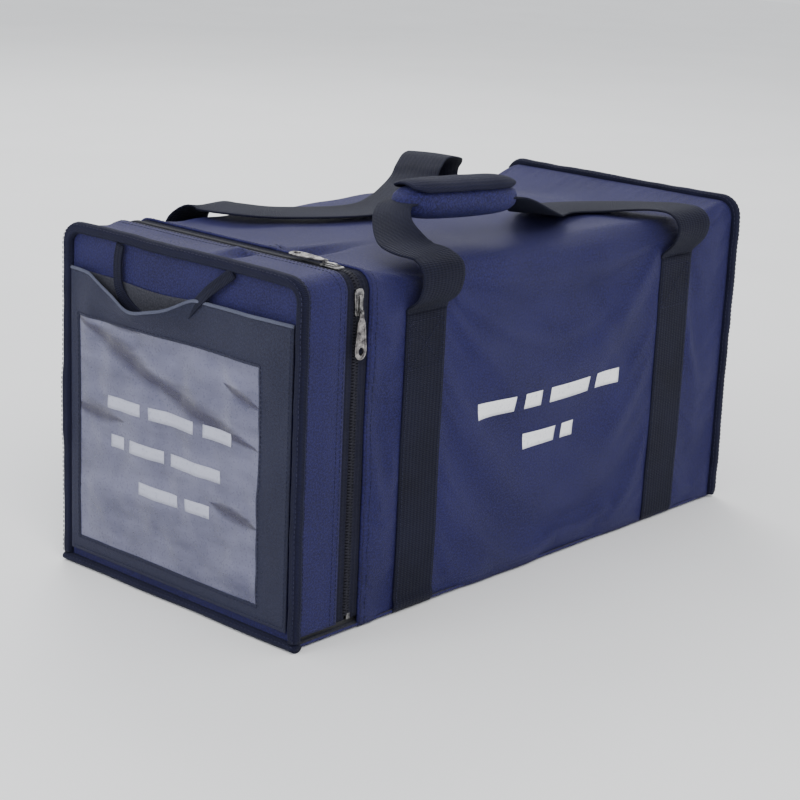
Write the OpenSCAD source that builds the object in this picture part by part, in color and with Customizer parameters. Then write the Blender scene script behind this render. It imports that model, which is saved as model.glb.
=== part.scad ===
// Zip-end cash deposit bag: a box-shaped cloth bag with a swing-down end flap, a window pocket,
// two webbing carry handles and one padded grip. Millimetres, +Z up, X along the length.
// The origin is the middle of the footprint; the opening end is at -X and the marked face at -Y.

/* [Body] */
// Overall length over the bound end seams
bag_length = 600; // [540:5:760]
// Overall width over the bound end seams
bag_width = 290; // [220:5:380]
// Overall height over the bound end seams
bag_height = 305; // [240:5:400]
// Thickness of the padded cloth walls
wall = 2.5; // [1.5:0.1:4]
// Outside radius of the two long top edges
edge_radius = 16; // [8:1:30]
// Depth of the end cap, from the end of the bag to the edge of its gusset
cap_depth = 54; // [45:1:90]
// Thickness of the stiffening boards in the floor and the ends
board = 2; // [1:0.1:4]

/* [Seam binding] */
// Depth of the end panels behind the ends of the bag
panel_inset = 6.5; // [5.5:0.1:9]
// Height of the bound seam above the cloth
binding_rise = 6; // [3:0.5:10]
// Width of the binding tape along the length of the bag
binding_width = 12; // [8:0.5:18]
// Height of the flap hinge line above the ground
hinge_height = 7.5; // [6:0.5:12]

/* [Zip] */
// Width of the visible strip between the cap and the body
zip_gap = 26; // [22:0.5:40]
// Thickness of the zip tape
tape = 1.2; // [0.8:0.1:2]
// Width of one row of teeth
teeth_width = 2.5; // [2:0.1:4]
// Thickness of the teeth
teeth_thick = 2.4; // [2:0.1:4]
// Gap between the two rows, in which the slider posts run
teeth_gap = 1.6; // [1.4:0.1:2.4]
// Length of a slider
slider_length = 22; // [16:1:30]
// Width of a slider
slider_width = 9; // [8:0.5:9.5]
// Length of a pull tab, from its pin to its tip
pull_length = 38; // [26:1:50]
// Width of a pull tab
pull_width = 14; // [8:1:18]
// Diameter of the hole in a pull tab
pull_hole = 6; // [3:0.5:8]
// Diameter of the pin that a pull tab swings on
pin_diameter = 1.6; // [1.2:0.1:1.8]

/* [Webbing] */
// Width of the carry webbing
web_width = 50; // [30:1:60]
// Thickness of the carry webbing
web_thick = 2; // [1.2:0.1:3]
// Distance from the opening end to the middle of the nearer strap
left_strap_in = 146.5; // [125:0.5:160]
// Distance from the closed end to the middle of the nearer strap
right_strap_in = 102; // [60:0.5:120]
// Distance below the top at which the straps leave the cloth and become handles
strap_drop = 42; // [35:1:120]
// Width of the small end handle's strap
end_web_width = 10; // [6:0.5:20]

/* [Grip] */
// Length of the padded grip
grip_length = 122; // [90:1:130]
// Width of the grip across
grip_width = 42; // [38:0.5:54]
// Height of the grip
grip_height = 30; // [24:0.5:40]
// Width that the handle webbing is folded to inside the grip
grip_web = 34; // [28:0.5:36]

/* [Pocket] */
// Gap between the pocket and the bound seam at the front
pocket_front_gap = 5; // [0.5:0.5:30]
// Gap between the pocket and the bound seam at the back
pocket_rear_gap = 0.5; // [0.5:0.5:30]
// Distance from the top of the cloth down to the pocket mouth
pocket_drop = 30; // [28:1:90]
// Height of the pocket's lower edge above the hinge line
pocket_foot = 7.5; // [3:0.5:30]
// Width of the pocket cloth in front of the window
window_front_margin = 30; // [14:1:70]
// Width of the pocket cloth behind the window
window_rear_margin = 12; // [8:0.5:70]
// Height of the pocket cloth above the window
window_top_margin = 43; // [14:1:80]
// Height of the pocket cloth below the window
window_foot_margin = 14; // [8:1:60]
// Width of the film that is sewn under the cloth round the window
window_lap = 5; // [3:0.5:6]
// Thickness of the window film
film = 0.7; // [0.4:0.1:1.2]

/* [Hidden] */
$fn = 48;

eps = 0.01;
navy = [0.21, 0.22, 0.42];
charcoal = [0.13, 0.14, 0.18];
slate = [0.23, 0.26, 0.37];
metal = [0.6, 0.6, 0.62];

// The cloth tube between the bound ends
end_x = bag_length / 2;
face_y = bag_width / 2 - binding_rise;
top_z = bag_height - binding_rise;
base_z = web_thick;
left_strap_x = -end_x + left_strap_in;
right_strap_x = end_x - right_strap_in;
strap_top = top_z - strap_drop;
lip = binding_rise;
panel_x = end_x - panel_inset;
shell_x = panel_x - wall;
binding_in = end_x - binding_width;
flange = binding_rise / 2;

// The zip strip
cap_edge = -end_x + cap_depth;
body_edge = cap_edge + zip_gap;
zip_x = (cap_edge + body_edge) / 2;
tape_under = 8;
tape_inset = wall;
teeth_inset = tape_inset + tape / 2 - teeth_thick / 2;
zip_foot = hinge_height + 3;
stop_height = 5;

// The sliders: two plates joined by a post that runs between the rows of teeth
plate = 1.4;
plate_clear = 1.2;
post_width = teeth_gap - 0.4;
plate_out = teeth_inset - plate_clear;
plate_in = teeth_inset + teeth_thick + plate_clear;
pin_lift = 2.7;
slider_front_z = top_z - edge_radius - slider_length / 2 + 4;
slider_top_y = -face_y + edge_radius + slider_length / 2 + 3;
pin_from_tail = 3;

// The carry handles. A row is: place along the length, distance out from the face, height
// above the top, direction of the width in plan, width of the webbing
strap_bottom_up = 1.5 - strap_drop;
off_face = web_thick / 2 + 0.5;
grip_slack = 3;
grip_x0 = left_strap_x + 33.5;
grip_x1 = grip_x0 + grip_length + grip_slack;
grip_side = -98.2;
// A place on the straight part in the grip, and a place from the grip to the right strap, 0 to 1
function in_grip(t) = [grip_x0 + t * (grip_x1 - grip_x0), -61 + 18 * t, 34 - 3 * t, grip_side, grip_web];
function past_grip(t) = grip_x1 + t * (right_strap_x - grip_x1);
function between(t) = left_strap_x + t * (right_strap_x - left_strap_x);
front_route = [
    [left_strap_x, off_face, strap_bottom_up, 0, web_width],
    [left_strap_x, off_face + 1, strap_bottom_up + 4, 0, web_width],
    [left_strap_x, 13, -28, 0, web_width],
    [left_strap_x, 18, -15, 0, web_width],
    [left_strap_x, 16, -2, 0, web_width],
    [left_strap_x, 4, 6, 0, web_width],
    [left_strap_x - 5, -11, 10, -5, web_width],
    [left_strap_x - 6.5, -25, 14, -15, web_width * 0.96],
    [grip_x0 - 34.5, -41, 21, -45, web_width * 0.86],
    [grip_x0 - 20, -55, 29, -70, web_width * 0.74],
    in_grip(0),
    in_grip(1 / 3),
    in_grip(2 / 3),
    in_grip(1),
    [past_grip(0.075), -41.5, 28, -90, web_width * 0.76],
    [past_grip(0.183), -46.5, 19, -75, web_width * 0.88],
    [past_grip(0.31), -59, 10.5, -65, web_width],
    [past_grip(0.46), -79, 5.5, -72, web_width],
    [past_grip(0.63), -91, 4.5, -90, web_width],
    [past_grip(0.785), -87, 4.5, -107, web_width],
    [past_grip(0.91), -67, 4.5, -139, web_width],
    [past_grip(0.975), -41, 5, -163, web_width],
    [right_strap_x, -13, 6, -174, web_width],
    [right_strap_x, 8, 4, -180, web_width],
    [right_strap_x, 18, -7, -180, web_width],
    [right_strap_x, 15, -23, -180, web_width],
    [right_strap_x, off_face + 1, strap_bottom_up + 4, -180, web_width],
    [right_strap_x, off_face, strap_bottom_up, -180, web_width]];
rear_route = [
    [left_strap_x, off_face, strap_bottom_up, 0, web_width],
    [left_strap_x, off_face + 1, strap_bottom_up + 4, 0, web_width],
    [left_strap_x, 13, -28, 0, web_width],
    [left_strap_x, 18, -15, 0, web_width],
    [left_strap_x, 13, -1, 0, web_width],
    [between(0.021), -5, 6, 6, web_width],
    [between(0.044), -29, 7, 24, web_width],
    [between(0.095), -59, 7, 41, web_width],
    [between(0.18), -81, 7, 67, web_width],
    [between(0.294), -94, 7, 84, web_width],
    [between(0.408), -91, 7, 99, web_width],
    [between(0.522), -68, 8, 114, web_width],
    [between(0.62), -42, 10, 116, web_width],
    [between(0.70), -23, 15, 108, web_width],
    [between(0.78), -12, 22, 104, web_width],
    [between(0.86), -5, 24, 110, web_width],
    [between(0.92), 2, 18, 128, web_width],
    [between(0.96), 9, 6, 156, web_width],
    [between(0.985), 13, -7, 178, web_width],
    [right_strap_x, 11.5, -25, 180, web_width],
    [right_strap_x, off_face + 1, strap_bottom_up + 4, 180, web_width],
    [right_strap_x, off_face, strap_bottom_up, 180, web_width]];

function route_point(row, side) =
    [row[0], side * (face_y + row[1]), top_z + row[2]];

// The padded grip lies along the straight part of the front handle
grip_a = route_point(in_grip(0), -1);
grip_b = route_point(in_grip(1), -1);
grip_mid = (grip_a + grip_b) / 2;
grip_dir = (grip_b - grip_a) / norm(grip_b - grip_a);
grip_turn = atan2(grip_dir.y, grip_dir.x);
grip_tilt = -asin(grip_dir.z);
grip_corner = 10;
sleeve = 2;
fastener = 1;
hem = 2;
flat_half = grip_width / 2 - grip_corner;
flap_low = grip_height / 2 + 2 * fastener + 0.2;
flap_thick = 1.8;
flap_hinge_y = flat_half - hem - 0.2;

// The small handle on the end flap
end_handle_x = -end_x + 1.5;
end_handle_top = top_z - lip - 1.5;
end_handle_half = 66;
end_handle_drop = 44;

// The pocket, from its front edge to its rear edge and from its foot to its mouth
pocket_y0 = -face_y + lip + pocket_front_gap;
pocket_y1 = face_y - lip - pocket_rear_gap;
pocket_z0 = hinge_height + pocket_foot;
pocket_z1 = top_z - pocket_drop;
window_y0 = pocket_y0 + window_front_margin;
window_y1 = pocket_y1 - window_rear_margin;
window_z0 = pocket_z0 + window_foot_margin;
window_z1 = pocket_z1 - window_top_margin;
trim_height = 4;
film_x = -panel_x - film;
frame_x = film_x - 1.4;

// ---- Shared shapes ----

// Outline across the bag, stepped in from the cloth, with square lower corners
module section(inset, low) {
    half = face_y - inset;
    high = top_z - inset;
    r = max(edge_radius - inset, 2);
    translate([-half, low]) square([2 * half, high - r - low]);
    translate([-half + r, low]) square([2 * (half - r), high - low]);
    for (s = [-1, 1]) translate([s * (half - r), high - r]) circle(r);
}

// A solid between two stations along the length
module along(x0, x1) translate([x0, 0, 0]) rotate([90, 0, 90]) linear_extrude(x1 - x0) children();

// A strip that runs up the front, over the top and down the back
module arch(x0, x1, outer, inner, foot) along(x0, x1) difference() {
    section(outer, foot);
    section(inner, foot - 1);
}

// Bound seam round an end that faces +X, closed along the foot or open there for the hinge
module binding(foot, closed) difference() {
    along(binding_in, end_x) section(-binding_rise, foot);
    along(panel_x, end_x + 1) section(lip, closed ? base_z + lip : foot - 1);
    along(shell_x, panel_x) section(-flange, closed ? base_z - 1 : foot - 1);
    along(binding_in - 1, shell_x) section(0, closed ? base_z : foot - 1);
}

module box_between(lo, hi) translate(lo) cube(hi - lo);

// Smooth strip of webbing through a list of rows [point, width direction, width]
function blend(a, b, c, d, t) =
    0.5 * ((2 * b) + (c - a) * t + (2 * a - 5 * b + 4 * c - d) * t * t + (3 * b - a - 3 * c + d) * t * t * t);
function sample(v, i, t) = blend(v[max(i - 1, 0)], v[i], v[i + 1], v[min(i + 2, len(v) - 1)], t);
function unit(v) = v / norm(v);
module ribbon(points, sides, widths, thick, steps) {
    last = len(points) - 1;
    fine = [for (i = [0 : last - 1]) for (k = [0 : steps - 1])
        [sample(points, i, k / steps), sample(sides, i, k / steps), sample(widths, i, k / steps)]];
    rows = concat(fine, [[points[last], sides[last], widths[last]]]);
    n = len(rows);
    corners = [for (i = [0 : n - 1])
        let (go = unit(rows[min(i + 1, n - 1)][0] - rows[max(i - 1, 0)][0]),
             across = unit(rows[i][1] - (rows[i][1] * go) * go) * rows[i][2] / 2,
             up = unit(cross(go, across)) * thick / 2)
        for (c = [-across - up, across - up, across + up, -across + up]) rows[i][0] + c];
    end = 4 * n;
    faces = concat([[0, 1, 2], [0, 2, 3]],
        [for (i = [0 : n - 2]) for (k = [0 : 3])
            let (a = 4 * i + k, b = 4 * i + (k + 1) % 4)
            for (f = [[a, a + 4, b + 4], [a, b + 4, b]]) f],
        [[end - 1, end - 2, end - 3], [end - 1, end - 3, end - 4]]);
    polyhedron(corners, faces);
}

module handle_loop(route, side) ribbon(
    [for (r = route) route_point(r, side)],
    [for (r = route) [cos(r[3]), sin(r[3]), 0]],
    [for (r = route) r[4]], web_thick, 3);

// ---- Body ----

module bottom_panel() color(navy)
    box_between([-shell_x, -face_y + wall, base_z], [shell_x, face_y - wall, base_z + wall]);

module base_board() color(charcoal) box_between(
    [-shell_x + 6, -face_y + wall + 4, base_z + wall],
    [shell_x - board, face_y - wall - 4, base_z + wall + 2 * board]);

module body_wrap() color(navy) arch(body_edge, shell_x, 0, wall, base_z);

module fixed_end_panel() color(navy) along(shell_x, panel_x) section(-flange, base_z - 1);

module fixed_end_board() color(charcoal)
    along(shell_x - board, shell_x) section(wall + 2, base_z + wall + 2 * board + 1);

module fixed_end_binding() color(charcoal) binding(0, true);

module hinge_binding() color(charcoal) difference() {
    box_between([-end_x, -face_y - lip, 0], [-binding_in, face_y + lip, hinge_height - 0.5]);
    box_between([-shell_x, -face_y, base_z], [-binding_in + 1, face_y, hinge_height]);
}

module carry_strap(x) color(charcoal) difference() {
    box_between([x - web_width / 2, -face_y - web_thick, 0], [x + web_width / 2, face_y + web_thick, strap_top]);
    box_between([x - web_width, -face_y, base_z], [x + web_width, face_y, strap_top + 1]);
}
module left_carry_strap() carry_strap(left_strap_x);
module right_carry_strap() carry_strap(right_strap_x);

module front_mark() color("white") {
    for (row = [[-78, 120, 150, 162], [-13, 58, 114, 126]])
        box_between([row[0], -face_y - 0.3, row[2]], [row[1], -face_y, row[3]]);
}

// ---- Zip ----

module teeth_row(x0, tape_x0, tape_x1) color(charcoal) difference() {
    arch(x0, x0 + teeth_width, teeth_inset, teeth_inset + teeth_thick, zip_foot + stop_height);
    arch(tape_x0, tape_x1, tape_inset, tape_inset + tape, zip_foot - 1);
}

body_teeth_x = zip_x + teeth_gap / 2;
flap_teeth_x = zip_x - teeth_gap / 2 - teeth_width;
body_tape_edge = body_teeth_x + 1;
flap_tape_edge = flap_teeth_x + teeth_width - 1;

module body_zip_tape() color(charcoal)
    arch(body_tape_edge, body_edge + tape_under, tape_inset, tape_inset + tape, zip_foot);
module body_zip_teeth() teeth_row(body_teeth_x, body_tape_edge, body_edge);
module flap_zip_tape() color(charcoal)
    arch(cap_edge - tape_under, flap_tape_edge, tape_inset, tape_inset + tape, zip_foot);
module flap_zip_teeth() teeth_row(flap_teeth_x, cap_edge, flap_tape_edge);

// Crimped clips on the tape that end the zip at the front and at the back
module zip_stops() color(metal) intersection() {
    difference() {
        arch(body_teeth_x, body_teeth_x + teeth_width + 2, teeth_inset, teeth_inset + teeth_thick, zip_foot);
        arch(body_tape_edge, body_edge, tape_inset, tape_inset + tape, zip_foot - 1);
    }
    box_between([-end_x, -bag_width, zip_foot], [end_x, bag_width, zip_foot + stop_height]);
}

// A slider on a face whose outward direction is +Z, running along Y, with its pin at the tail
module slider() {
    slim = slider_length - slider_width;
    for (low = [-plate_out, -plate_in - plate]) translate([0, 0, low]) {
        translate([-slider_width / 2, -slim / 2, 0]) cube([slider_width, slim, plate]);
        for (s = [-1, 1]) translate([0, s * slim / 2, 0]) cylinder(d = slider_width, h = plate);
    }
    translate([-post_width / 2, -4, -plate_in]) cube([post_width, 8, plate_in - plate_out]);
    lug = 1.2;
    lug_gap = 4;
    lug_long = 3.2;
    pin_y = -slider_length / 2 + pin_from_tail;
    for (s = [-1, 1]) translate([s * (lug_gap + lug) / 2 - lug / 2, pin_y - lug_long / 2, plate - plate_out])
        cube([lug, lug_long, pin_lift + 1.2]);
    translate([-lug_gap / 2 - eps, pin_y, plate - plate_out + pin_lift]) rotate([0, 90, 0])
        cylinder(d = pin_diameter, h = lug_gap + 2 * eps);
}

// A pull tab that hangs along -Y from a pin along X at the origin
module pull() {
    eye = pin_diameter + 2.4;
    tab = 1.6;
    neck = 3.2;
    difference() {
        union() {
            translate([-neck / 2, 0, 0]) rotate([0, 90, 0]) cylinder(d = eye, h = neck);
            translate([-neck / 2, -7, -tab / 2]) cube([neck, 6, tab]);
            translate([-pull_width / 2, -pull_length + pull_width / 2, -tab / 2])
                cube([pull_width, pull_length - pull_width / 2 - 6, tab]);
            translate([0, -pull_length + pull_width / 2, -tab / 2]) cylinder(d = pull_width, h = tab);
        }
        translate([-neck, 0, 0]) rotate([0, 90, 0]) cylinder(d = pin_diameter + 0.6, h = 2 * neck);
        translate([0, -pull_length + pull_width / 2, -tab]) cylinder(d = pull_hole, h = 2 * tab);
    }
}

pin_height = plate - plate_out + pin_lift;
module on_front(z) translate([zip_x, -face_y, z]) rotate([90, 0, 0]) children();
module on_top(y) translate([zip_x, y, top_z]) rotate([0, 0, 180]) children();

module front_slider() color(metal) on_front(slider_front_z) slider();
module front_pull() color(metal) on_front(slider_front_z)
    translate([0, -slider_length / 2 + pin_from_tail, pin_height]) pull();
module top_slider() color(metal) on_top(slider_top_y) slider();
module top_pull() color(metal) on_top(slider_top_y)
    translate([0, -slider_length / 2 + pin_from_tail, pin_height]) pull();

// ---- End flap ----

module flap_panel() color(navy) along(-panel_x, -shell_x) section(-flange, hinge_height);

module flap_board() color(charcoal)
    along(-shell_x, -shell_x + board) section(wall + 5, hinge_height + 4);

module flap_gusset() color(navy) arch(-shell_x, cap_edge, 0, wall, hinge_height);

module flap_binding() color(charcoal) mirror([1, 0, 0]) binding(hinge_height, false);

module rounded_panel(x, thick, y0, y1, z0, z1, r) along(x, x + thick) {
    translate([y0, z0 + r]) square([y1 - y0, z1 - z0 - 2 * r]);
    translate([y0 + r, z0]) square([y1 - y0 - 2 * r, z1 - z0]);
    for (y = [y0 + r, y1 - r]) for (z = [z0 + r, z1 - r]) translate([y, z]) circle(r);
}

module window_outline(x, thick, lap) rounded_panel(x, thick, window_y0 - lap, window_y1 + lap,
    window_z0 - lap, window_z1 + lap, 5 + lap / 2);

module pocket_window() color([0.5, 0.52, 0.62, 0.7]) window_outline(film_x, film, window_lap);

module pocket_frame() color(slate) difference() {
    rounded_panel(frame_x, -panel_x - frame_x, pocket_y0, pocket_y1, pocket_z0, pocket_z1, 3);
    window_outline(frame_x - 1, 9, 0);
    window_outline(film_x, film + 1, window_lap);
}

module pocket_trim() color([0.4, 0.43, 0.5]) along(frame_x - 0.6, frame_x)
    translate([pocket_y0, pocket_z1 - trim_height]) square([pocket_y1 - pocket_y0, trim_height]);

// Three plain printed bars in the middle of the window
module window_mark() color("white") {
    bar = 12;
    middle = [(window_y0 + window_y1) / 2, (window_z0 + window_z1) / 2];
    window_w = window_y1 - window_y0;
    for (row = [[0.68, 1], [0.68, 0], [0.55, -1]])
        translate([film_x - 0.2, middle.x - row[0] * window_w / 2, middle.y + row[1] * 3 * bar - bar / 2])
            cube([0.2, row[0] * window_w, bar]);
}

end_handle_rows = [[1, 0, 0], [0.99, 0.4, 0], [0.88, 0.78, -30], [0.5, 0.97, -75], [0, 1, -90],
    [-0.5, 0.97, -105], [-0.88, 0.78, -150], [-0.99, 0.4, -180], [-1, 0, -180]];
module end_handle() color(charcoal) ribbon(
    [for (r = end_handle_rows) [end_handle_x, r[0] * end_handle_half, end_handle_top - r[1] * end_handle_drop]],
    [for (r = end_handle_rows) [0, cos(r[2]), sin(r[2])]],
    [for (r = end_handle_rows) end_web_width], web_thick, 4);

// ---- Carry handles and grip ----

module front_handle() color(charcoal) handle_loop(front_route, -1);
module rear_handle() color(charcoal) handle_loop(rear_route, 1);

module at_grip() translate(grip_mid) rotate([0, grip_tilt, grip_turn]) children();

module grip_outline(inset) {
    half = grip_width / 2 - inset;
    rise = grip_height / 2 - inset;
    r = grip_corner - inset;
    square([2 * half, 2 * (rise - r)], center = true);
    square([2 * (half - r), 2 * rise], center = true);
    for (s = [-1, 1]) for (t = [-1, 1]) translate([s * (half - r), t * (rise - r)]) circle(r);
}

module grip_tube(length) rotate([90, 0, 90]) linear_extrude(length, center = true) children();

module grip_foam() color([0.3, 0.3, 0.32]) at_grip() grip_tube(grip_length - 6) difference() {
    grip_outline(sleeve);
    square([grip_web + 1.2, web_thick + 1.2], center = true);
}

module grip_sleeve() color(navy) at_grip() {
    grip_tube(grip_length) difference() {
        grip_outline(0);
        grip_outline(sleeve);
    }
    // Hem that carries the closing flap
    translate([-grip_length / 2 + 4, flat_half - hem, grip_height / 2 - eps])
        cube([grip_length - 8, hem, flap_low + flap_thick - grip_height / 2]);
}

module grip_loop_tape() color(charcoal) at_grip()
    translate([-grip_length / 2 + 4, -flat_half, grip_height / 2])
        cube([grip_length - 8, 2 * flat_half - hem - 0.2, fastener]);

module grip_hook_tape() color(charcoal) at_grip()
    translate([-grip_length / 2 + 5, -flat_half, grip_height / 2 + fastener + 0.2])
        cube([grip_length - 10, flap_hinge_y + flat_half - 1, fastener]);

module grip_flap() color(charcoal) at_grip()
    translate([-grip_length / 2 + 2, -flat_half - 2, flap_low])
        cube([grip_length - 4, flap_hinge_y + flat_half + 2 - 0.1, flap_thick]);

bottom_panel();
base_board();
body_wrap();
fixed_end_panel();
fixed_end_board();
fixed_end_binding();
hinge_binding();
left_carry_strap();
right_carry_strap();
body_zip_tape();
body_zip_teeth();
zip_stops();
front_mark();
flap_panel();
flap_board();
flap_gusset();
flap_binding();
flap_zip_tape();
flap_zip_teeth();
pocket_frame();
pocket_window();
pocket_trim();
window_mark();
end_handle();
front_slider();
front_pull();
top_slider();
top_pull();
front_handle();
rear_handle();
grip_foam();
grip_sleeve();
grip_loop_tape();
grip_flap();
grip_hook_tape();
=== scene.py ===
"""Looks of the cash deposit bag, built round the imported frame. Lengths are in mm, and MM turns them into metres."""
import math

import bmesh
import bpy
import numpy as np
from mathutils import Matrix, Vector
from mathutils.bvhtree import BVHTree


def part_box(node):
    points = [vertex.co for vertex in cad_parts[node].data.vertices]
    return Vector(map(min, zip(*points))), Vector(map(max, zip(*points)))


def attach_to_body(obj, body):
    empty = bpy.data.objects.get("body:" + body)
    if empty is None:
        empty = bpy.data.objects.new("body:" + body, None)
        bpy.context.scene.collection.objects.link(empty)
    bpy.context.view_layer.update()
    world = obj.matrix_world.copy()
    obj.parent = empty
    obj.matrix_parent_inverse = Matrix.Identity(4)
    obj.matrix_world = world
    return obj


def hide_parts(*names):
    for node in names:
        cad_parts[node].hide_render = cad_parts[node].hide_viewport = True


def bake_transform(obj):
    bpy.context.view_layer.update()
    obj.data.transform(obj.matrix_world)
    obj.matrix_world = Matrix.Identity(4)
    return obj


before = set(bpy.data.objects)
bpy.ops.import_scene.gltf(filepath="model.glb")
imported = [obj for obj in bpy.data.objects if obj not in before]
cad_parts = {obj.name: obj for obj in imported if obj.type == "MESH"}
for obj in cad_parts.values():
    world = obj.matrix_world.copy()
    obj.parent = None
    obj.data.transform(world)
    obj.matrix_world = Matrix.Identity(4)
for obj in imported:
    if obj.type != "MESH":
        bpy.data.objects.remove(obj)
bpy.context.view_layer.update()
MM = 0.001

# ---- Sizes, in mm, read from the frame ----


def box_mm(node):
    return np.array(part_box(node)) / MM


def middle_mm(node):
    return box_mm(node).mean(0)


(BODY_EDGE, _, BASE_Z), (SHELL_X, FACE_Y, TOP_Z) = box_mm("body_wrap")
END_X = box_mm("fixed_end_binding")[1][0]
CAP_EDGE = box_mm("flap_gusset")[1][0]
ZIP_X = (BODY_EDGE + CAP_EDGE) / 2
PANEL_X, HINGE_Z = -box_mm("flap_panel")[0][0], box_mm("flap_panel")[0][2]
ZIP_FOOT = box_mm("body_zip_teeth")[0][2]
TAPE_FOOT = box_mm("body_zip_tape")[0][2]
LEFT_X, RIGHT_X = middle_mm("left_carry_strap")[0], middle_mm("right_carry_strap")[0]
STRAP_TOP = box_mm("left_carry_strap")[1][2]
WEB = 50.0
CORNER_R = 16.0
EDGE_Z = TOP_Z - CORNER_R
WALL_HEIGHT = EDGE_Z - BASE_Z
TAPE_DEPTH = 3.1
HEMS = (2.2, 7.5)
ONE_TURN = 2 * math.pi
ALONG, UPWARDS = np.array([1.0, 0, 0]), np.array([0, 0, 1.0])

# ---- Numbers that repeat: smooth noise and small curves ----


def smooth(t):
    t = np.clip(t, 0, 1)
    return t * t * (3 - 2 * t)


def bell(t):
    return np.exp(-np.square(t))


def noise(coordinates, size, seed, waves=9):
    """Smooth pseudo-random field over coordinates, with features about `size` across, within about -1 to 1."""
    points = np.stack(np.broadcast_arrays(*coordinates), -1)
    rng = np.random.RandomState(seed)
    total = 0
    for _ in range(waves):
        way = rng.normal(size=points.shape[-1])
        way *= rng.uniform(0.6, 1.5) / np.linalg.norm(way)
        total = total + np.sin(points @ way * ONE_TURN / size + rng.uniform(0, ONE_TURN))
    return total / math.sqrt(waves)


def catmull(rows, steps):
    """A smooth curve through rows of numbers, as part.scad draws its webbing."""
    rows = np.asarray(rows, float)
    last = len(rows) - 1
    out = []
    for i in range(last):
        a, b, c, d = rows[max(i - 1, 0)], rows[i], rows[i + 1], rows[min(i + 2, last)]
        for t in np.arange(steps) / steps:
            out.append(0.5 * (2 * b + (c - a) * t + (2 * a - 5 * b + 4 * c - d) * t**2
                              + (3 * b - a - 3 * c + d) * t**3))
    out.append(rows[last])
    return np.array(out)


def unit(v):
    return v / np.maximum(np.linalg.norm(v, axis=-1, keepdims=True), 1e-9)


def along_length(points):
    """Distance of each point from the first, along the line."""
    steps = np.linalg.norm(np.diff(points, axis=0), axis=1)
    return np.concatenate([[0], np.cumsum(steps)])


def even(points, spacing):
    """The same line with its points an equal distance apart."""
    s = along_length(points)
    n = max(int(s[-1] / spacing), 2)
    at = np.linspace(0, s[-1], n + 1)
    return np.stack([np.interp(at, s, points[:, k]) for k in range(points.shape[1])], 1)


# ---- Meshes ----


def linked(name, data, material=None):
    """A new object in the scene."""
    obj = bpy.data.objects.new(name, data)
    bpy.context.scene.collection.objects.link(obj)
    if material is not None:
        data.materials.append(material)
    return obj


def attach(obj, body_name, slot_name, *nodes):
    """The body that a piece rides on and the CAD nodes that it stands for; the slot name is not used."""
    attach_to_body(obj, body_name)
    if nodes:
        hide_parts(*nodes)
    return obj


def edit(mesh, change):
    work = bmesh.new()
    work.from_mesh(mesh)
    change(work)
    work.to_mesh(mesh)
    work.free()


def fix_normals(obj):
    edit(obj.data, lambda work: bmesh.ops.recalc_face_normals(work, faces=work.faces))


def drop_loose(work):
    bmesh.ops.delete(work, geom=[v for v in work.verts if not v.link_faces], context="VERTS")


def thicken(obj, thick, offset=0):
    solid = obj.modifiers.new("thickness", "SOLIDIFY")
    solid.thickness, solid.offset = thick * MM, offset
    return solid


def soften(obj, width, segments):
    edge = obj.modifiers.new("round", "BEVEL")
    edge.width, edge.segments, edge.limit_method = width * MM, segments, "ANGLE"


def mesh_object(name, points, faces, material, uv=None, soft=True):
    mesh = bpy.data.meshes.new(name)
    mesh.from_pydata((np.asarray(points, float) * MM).tolist(), [], [tuple(f) for f in faces])
    obj = linked(name, mesh, material)
    if uv is not None:
        layer = mesh.uv_layers.new(name="cloth")
        index = np.zeros(len(mesh.loops), int)
        mesh.loops.foreach_get("vertex_index", index)
        layer.uv.foreach_set("vector", (np.asarray(uv, float)[index] * MM).ravel())
    mesh.polygons.foreach_set("use_smooth", [soft] * len(mesh.polygons))
    mesh.update()
    return obj


def grid_faces(nu, nv, closed_u=False, closed_v=False, keep=None):
    faces = []
    for i in range(nu if closed_u else nu - 1):
        for j in range(nv if closed_v else nv - 1):
            if keep is not None and not keep[i, j]:
                continue
            a, b = i * nv + j, i * nv + (j + 1) % nv
            c, d = (i + 1) % nu * nv + (j + 1) % nv, (i + 1) % nu * nv + j
            faces.append((a, b, c, d))
    return faces


def tube_faces(n, k):
    """Faces of n rings of k points, closed at both ends."""
    return grid_faces(n, k, closed_v=True) + [tuple(range(k)), tuple(range(n * k - 1, (n - 1) * k - 1, -1))]


def cross_grid(a, b):
    return np.meshgrid(a, b, indexing="ij")


def circle(cx, cy, r, n=20, stretch=1.0):
    return [(cx + r * math.cos(a), cy + r * stretch * math.sin(a)) for a in np.linspace(0, ONE_TURN, n + 1)[:-1]]


def grid_uv(points):
    """Real distances over a grid (nu, nv, 3) along its two directions, each averaged over the other."""
    du = np.linalg.norm(np.diff(points, axis=0), axis=2).mean(1)
    dv = np.linalg.norm(np.diff(points, axis=1), axis=2).mean(0)
    grid = cross_grid(np.concatenate([[0], np.cumsum(du)]), np.concatenate([[0], np.cumsum(dv)]))
    return np.stack(grid, -1).reshape(-1, 2)


def sheet_object(name, points, material, thick=1.0, keep=None, flip=False, lining=None):
    """A sheet over a grid of points, given thickness inwards, with its own lining material if one is named."""
    faces = grid_faces(*points.shape[:2], keep=keep)
    if flip:
        faces = [f[::-1] for f in faces]
    obj = mesh_object(name, points.reshape(-1, 3), faces, material, grid_uv(points))
    if keep is not None:
        edit(obj.data, drop_loose)
    solid = thicken(obj, thick, -1)
    if lining is not None:
        obj.data.materials.append(lining)
        solid.material_offset = 1
    return obj


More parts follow.
